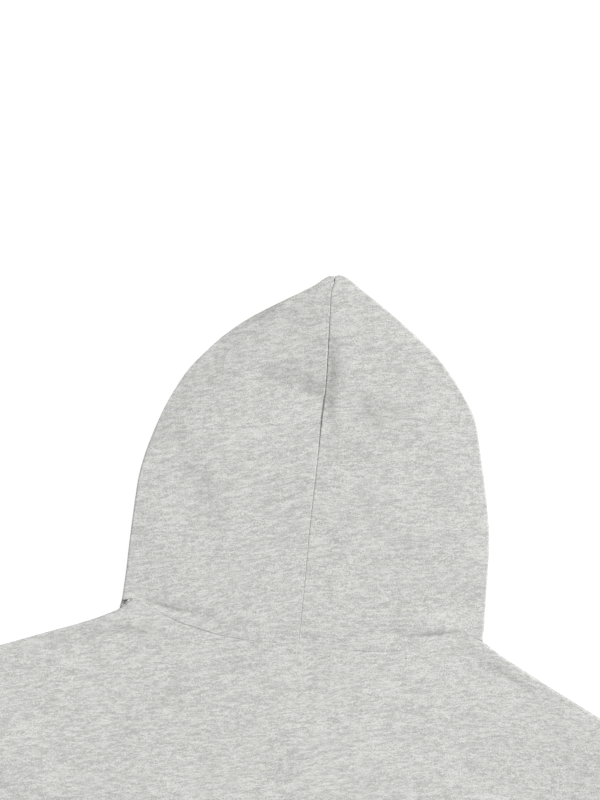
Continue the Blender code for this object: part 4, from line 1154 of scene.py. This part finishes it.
def rounded(points, radius, steps=5):
    """A closed outline with its corners rounded."""
    points = [np.array(p, float) for p in points]
    line = []
    for before, corner, after in zip(points[-1:] + points[:-1], points, points[1:] + points[:1]):
        to_before, to_after = before - corner, after - corner
        a = corner + to_before * min(radius / np.linalg.norm(to_before), 0.5)
        b = corner + to_after * min(radius / np.linalg.norm(to_after), 0.5)
        for t in np.linspace(0.0, 1.0, steps):
            line.append(a * (1 - t) ** 2 + corner * 2 * t * (1 - t) + b * t * t)
    return line


def box_outline(low_x, high_x, low_y, high_y, radius=0.5):
    return rounded([(low_x, low_y), (high_x, low_y), (high_x, high_y), (low_x, high_y)], radius)


def plate(loops, low, high, turn=Matrix(), bevel=BRIGHT_EDGE):
    """A mesh of a flat metal part with rounded edges: its outline and any holes in it, and its heights. turn
    moves it from the plan's origin."""
    flat = bpy.data.curves.new("outline", "CURVE")
    flat.dimensions = "2D"
    flat.fill_mode = "BOTH"
    flat.extrude = ((high - low) / 2 - bevel) * MM
    flat.bevel_depth = bevel * MM
    flat.bevel_resolution = 2
    flat.offset = -bevel * MM
    for loop in loops:
        line = flat.splines.new("POLY")
        line.points.add(len(loop) - 1)
        for point, (x, y) in zip(line.points, loop):
            point.co = (x * MM, y * MM, 0.0, 1.0)
        line.use_cyclic_u = True
    drawn = bpy.data.objects.new("outline", flat)
    mesh = bpy.data.meshes.new_from_object(drawn)
    bpy.data.objects.remove(drawn)
    mesh.transform(Matrix.Translation((0.0, 0.0, (high + low) / 2 * MM)))
    mesh.transform(turn)
    mesh.transform(Matrix.Translation(NECK))
    return mesh


def metal(name, body, plates, *nodes):
    """One metal piece made of plates, in place of CAD nodes."""
    whole = bmesh.new()
    for mesh in plates:
        whole.from_mesh(mesh)
    made = bpy.data.meshes.new(name)
    whole.to_mesh(made)
    made.materials.clear()
    made.materials.append(nickel)
    worn(placed(name, made), body, "zip_metal", *nodes)


# The slider's plates narrow towards the hem, where the closed chain leaves them
slider_outline = rounded(
    [(-3.6, -93.0), (3.6, -93.0), (4.1, -87.0), (4.1, -79.0), (-4.1, -79.0), (-4.1, -87.0)], 1.3)
metal("zip_slider_body", "garment", [
    plate([slider_outline], 3.15, 4.15),                               # outer plate
    plate([slider_outline], 7.35, 8.35),                               # inner plate
    plate([box_outline(-1.2, 1.2, -80.4, -79.1, 0.6)], 3.35, 8.15),    # post between them
    plate([box_outline(-0.95, 0.95, -91.5, -80.5, 0.7)], 0.15, 1.05),  # bridge for the pull tab
    plate([box_outline(-1.0, 1.0, -91.5, -90.3)], 0.25, 3.35),         # and its two legs
    plate([box_outline(-1.0, 1.0, -81.7, -80.5)], 0.25, 3.35),
    plate([box_outline(-4.1, -3.3, -92.0, -80.0, 0.35)], 3.35, 6.15),  # flanges beside the coils
    plate([box_outline(3.3, 4.1, -92.0, -80.0, 0.35)], 3.35, 6.15),
], "zip_slider")

right_half = [(PULL_HALF, PULL_BAR), PULL_WAIST, (PULL_HALF, -PULL_LENGTH)]
pull_outline = rounded([(-PULL_HALF, PULL_BAR)] + right_half + [(-x, y) for x, y in right_half[:0:-1]], 1.6)
slot_outline = box_outline(-1.5, 1.5, -6.3, -PULL_BAR, 0.5)
hole_turns = np.linspace(0, 2 * math.pi, 25)[:-1]
hole_outline = [
    (HOLE_RADIUS * math.cos(a), HOLE_RADIUS * math.sin(a) + HOLE_IN - PULL_LENGTH) for a in hole_turns
]
hinge = Matrix.Translation((0.0, SLIDER_Y * MM, PULL_Z * MM)) @ Matrix.Rotation(PULL_TILT, 4, "X")
pull_plate = plate([pull_outline, slot_outline, hole_outline], -PULL_BAR, PULL_BAR, hinge)
metal("pull_tab_metal", "pull_tab", [pull_plate], "zip_pull")

for side, sign in SIDES.items():
    low_x, high_x = sorted((sign * 2.4, sign * 4.2))
    stop = plate([box_outline(low_x, high_x, -77.0, -74.0)], 4.6, 6.15)
    metal(f"zip_stop_{side}_metal", "garment", [stop], f"zip_stop_{side}")
metal("zip_box_metal", "garment", [
    plate([box_outline(-4.2, 4.2, BOX_Y, BOX_Y + 8.7, 0.9)], 0.3, 2.6),
    # The ridge over the pin
    plate([box_outline(-0.5, 0.5, BOX_Y + 1.0, BOX_Y + 7.7, 0.3)], 0.16, 0.8, bevel=0.1),
], "zip_box")


# Stitching: polyester thread, in rows beside the seams, where it holds the seam allowances down. It sinks in
# the pile, so that only some of its stitches show.
STITCH_PITCH = 3.4
STRAY = 0.12               # how unevenly they are spaced and turned
SUNK = 0.08                # how far a row lies below the cloth's face
UNDER_SUNK, UNDER_UNEVEN = 0.13, 0.05   # and on the under side, with how much that varies
# The rows below the neck seam: how far from it, and how far sunk
NECK_ROWS = ((-6.5, 0.10), (-9.3, 0.16))
HEM_ROW = 4.0              # how far above the hem's seam its row lies
ARMHOLE_ROW = 6.0          # how far inside the armhole
ZIP_ROW_X = 9.5
# A stitch: how far along, half-width, half-height
STITCH = ((-1.0, 0.0, 0.0), (-0.5, 0.3, 0.22), (0.6, 0.3, 0.22), (1.1, 0.0, 0.0))
FACE_HEM = 25.0            # width of the hem round the face opening
thread, tree, shader = surface("thread", 0.6, sheen=0.1)
mottled(tree, shader, 4.0, (0.30, 0.30, 0.295, 1.0), (0.50, 0.50, 0.49, 1.0))
chance = np.random.default_rng(7)


def beside(line, away):
    """A line at a distance to the left of another's way."""
    step = np.gradient(line, axis=0)
    step /= np.linalg.norm(step, axis=1)[:, None]
    return line + away * np.stack([-step[:, 1], step[:, 0]], axis=-1)


rows = []


def stitch_row(line, height, sunk, uneven=0.14, outward=1):
    """Adds a row of stitches along a plan line, sunk in the cloth's upper face, or for -1 in its lower."""
    count = int(run_of(line)[-1] / STITCH_PITCH)
    at = along(line, (np.arange(count) + chance.uniform(-STRAY, STRAY, count) + 0.5) / count)
    onward = along(line, (np.arange(count) + 0.8) / count) - along(line, (np.arange(count) + 0.2) / count)
    turn = np.arctan2(onward[:, 1], onward[:, 0]) + chance.uniform(-STRAY, STRAY, count)
    z = height(at[:, 0], at[:, 1]) - outward * (sunk + chance.uniform(-uneven, uneven, count))
    rows.append(np.column_stack([at, z, turn]))


def on_back(x, y):
    return back_height(x, y, distance(x, y, BODY_LINES))


def on_front(x, y):
    return under_height(x, y, distance(x, y, BODY_LINES))


def on_face_hem(x, y):
    side = "left" if x[0] < 0 else "right"
    return hood_under_height(side, x, y, distance(x, y, [hood_outline(side)]))


def under_row(line, height):
    """Adds a row on the side that the garment lies on."""
    stitch_row(line, height, UNDER_SUNK, UNDER_UNEVEN, -1)


def level(from_x, to_x):
    """The line of the stitches above the hem's seam."""
    return np.array([(from_x, HEM_SEAM_Y + HEM_ROW), (to_x, HEM_SEAM_Y + HEM_ROW)])


neck_x = np.linspace(-122.0, 122.0, 200)
neck_y = np.where(neck_x < 0, read(BACK_NECK, -neck_x), read(BACK_NECK, neck_x, "right"))
neck_line = np.column_stack([neck_x, neck_y])
for away, sunk in NECK_ROWS:
    stitch_row(beside(neck_line, away), on_back, sunk)
stitch_row(level(-292.0, 292.0), on_back, SUNK)
under_row(level(-296.0, -8.0), on_front)
under_row(level(8.0, 296.0), on_front)
for side, sign in SIDES.items():
    armhole_y = np.linspace(-66.0, -286.0, 40)
    armhole = np.column_stack([sign * (half_width(side, armhole_y) - ARMHOLE_ROW), armhole_y])
    stitch_row(armhole, on_back, SUNK)
    under_row(armhole, on_front)
    under_row(np.array([(sign * ZIP_ROW_X, -78.0), (sign * ZIP_ROW_X, -590.0)]), on_front)
    face = curve([(sign * x, y) for x, y in FACE_EDGE])
    under_row(beside(face, -sign * FACE_HEM)[10:-6], on_face_hem)
rings = [[(x, wide * math.cos(a), tall * math.sin(a)) for a in turns[::2]] for x, wide, tall in STITCH]
stitching = repeated("stitching", rings, np.vstack(rows), thread)
worn(stitching, "garment", "heather_fleece")


# Floor, light and camera: a white table that glows, so that it is whiter than the cloth, and a large soft
# lamp to the right beyond the hood's crown, in an even white room. The camera is straight above the hood and
# turned a little, and the body and the sleeves run out of its view.
FLOOR_REACH = 40.0         # in metres
FLOOR_GAP = 0.0002         # how far below the garment it lies
floor_mesh = bpy.data.meshes.new("floor")
corners = [(x * FLOOR_REACH, y * FLOOR_REACH, 0) for x, y in ((-1, -1), (1, -1), (1, 1), (-1, 1))]
floor_mesh.from_pydata(corners, [], [(0, 1, 2, 3)])
floor = placed("floor", floor_mesh)
floor.location.z = -FLOOR_GAP
paper, tree, shader = surface("paper", 0.9)
shader.inputs["Base Color"].default_value = (0.12, 0.12, 0.12, 1.0)
shader.inputs["Emission Color"].default_value = (1.0, 1.0, 1.0, 1.0)
shader.inputs["Emission Strength"].default_value = 0.93
floor_mesh.materials.append(paper)

lamp = bpy.data.lights.new("lamp", "SUN")
lamp.energy = 2.46
lamp.angle = math.radians(40.0)
placed("lamp", lamp).rotation_euler = Vector((-0.80, -0.46, -0.98)).to_track_quat("-Z", "Y").to_euler()
world = bpy.data.worlds.new("room")
world.use_nodes = True
world.node_tree.nodes["Background"].inputs["Color"].default_value = (1.0, 1.0, 1.0, 1.0)
world.node_tree.nodes["Background"].inputs["Strength"].default_value = 0.428
bpy.context.scene.world = world
bpy.context.scene.view_settings.view_transform = "Standard"

VIEW_MIDDLE = (-20.4, 194.1)
VIEW_TURN = math.radians(6.0)
VIEW_HEIGHT = 640.0        # how much of the garment it takes in, at the height of the upper face
UPPER_FACE = 5.0
CAMERA_Z = 1605.0
lens = bpy.data.cameras.new("camera")
lens.sensor_fit = "VERTICAL"
lens.sensor_height = 24.0
lens.lens = lens.sensor_height * (CAMERA_Z - UPPER_FACE) / VIEW_HEIGHT
camera = placed("camera", lens)
camera.location = NECK + Vector((*VIEW_MIDDLE, CAMERA_Z)) * MM
camera.rotation_euler = (0.0, 0.0, VIEW_TURN)
bpy.context.scene.camera = camera
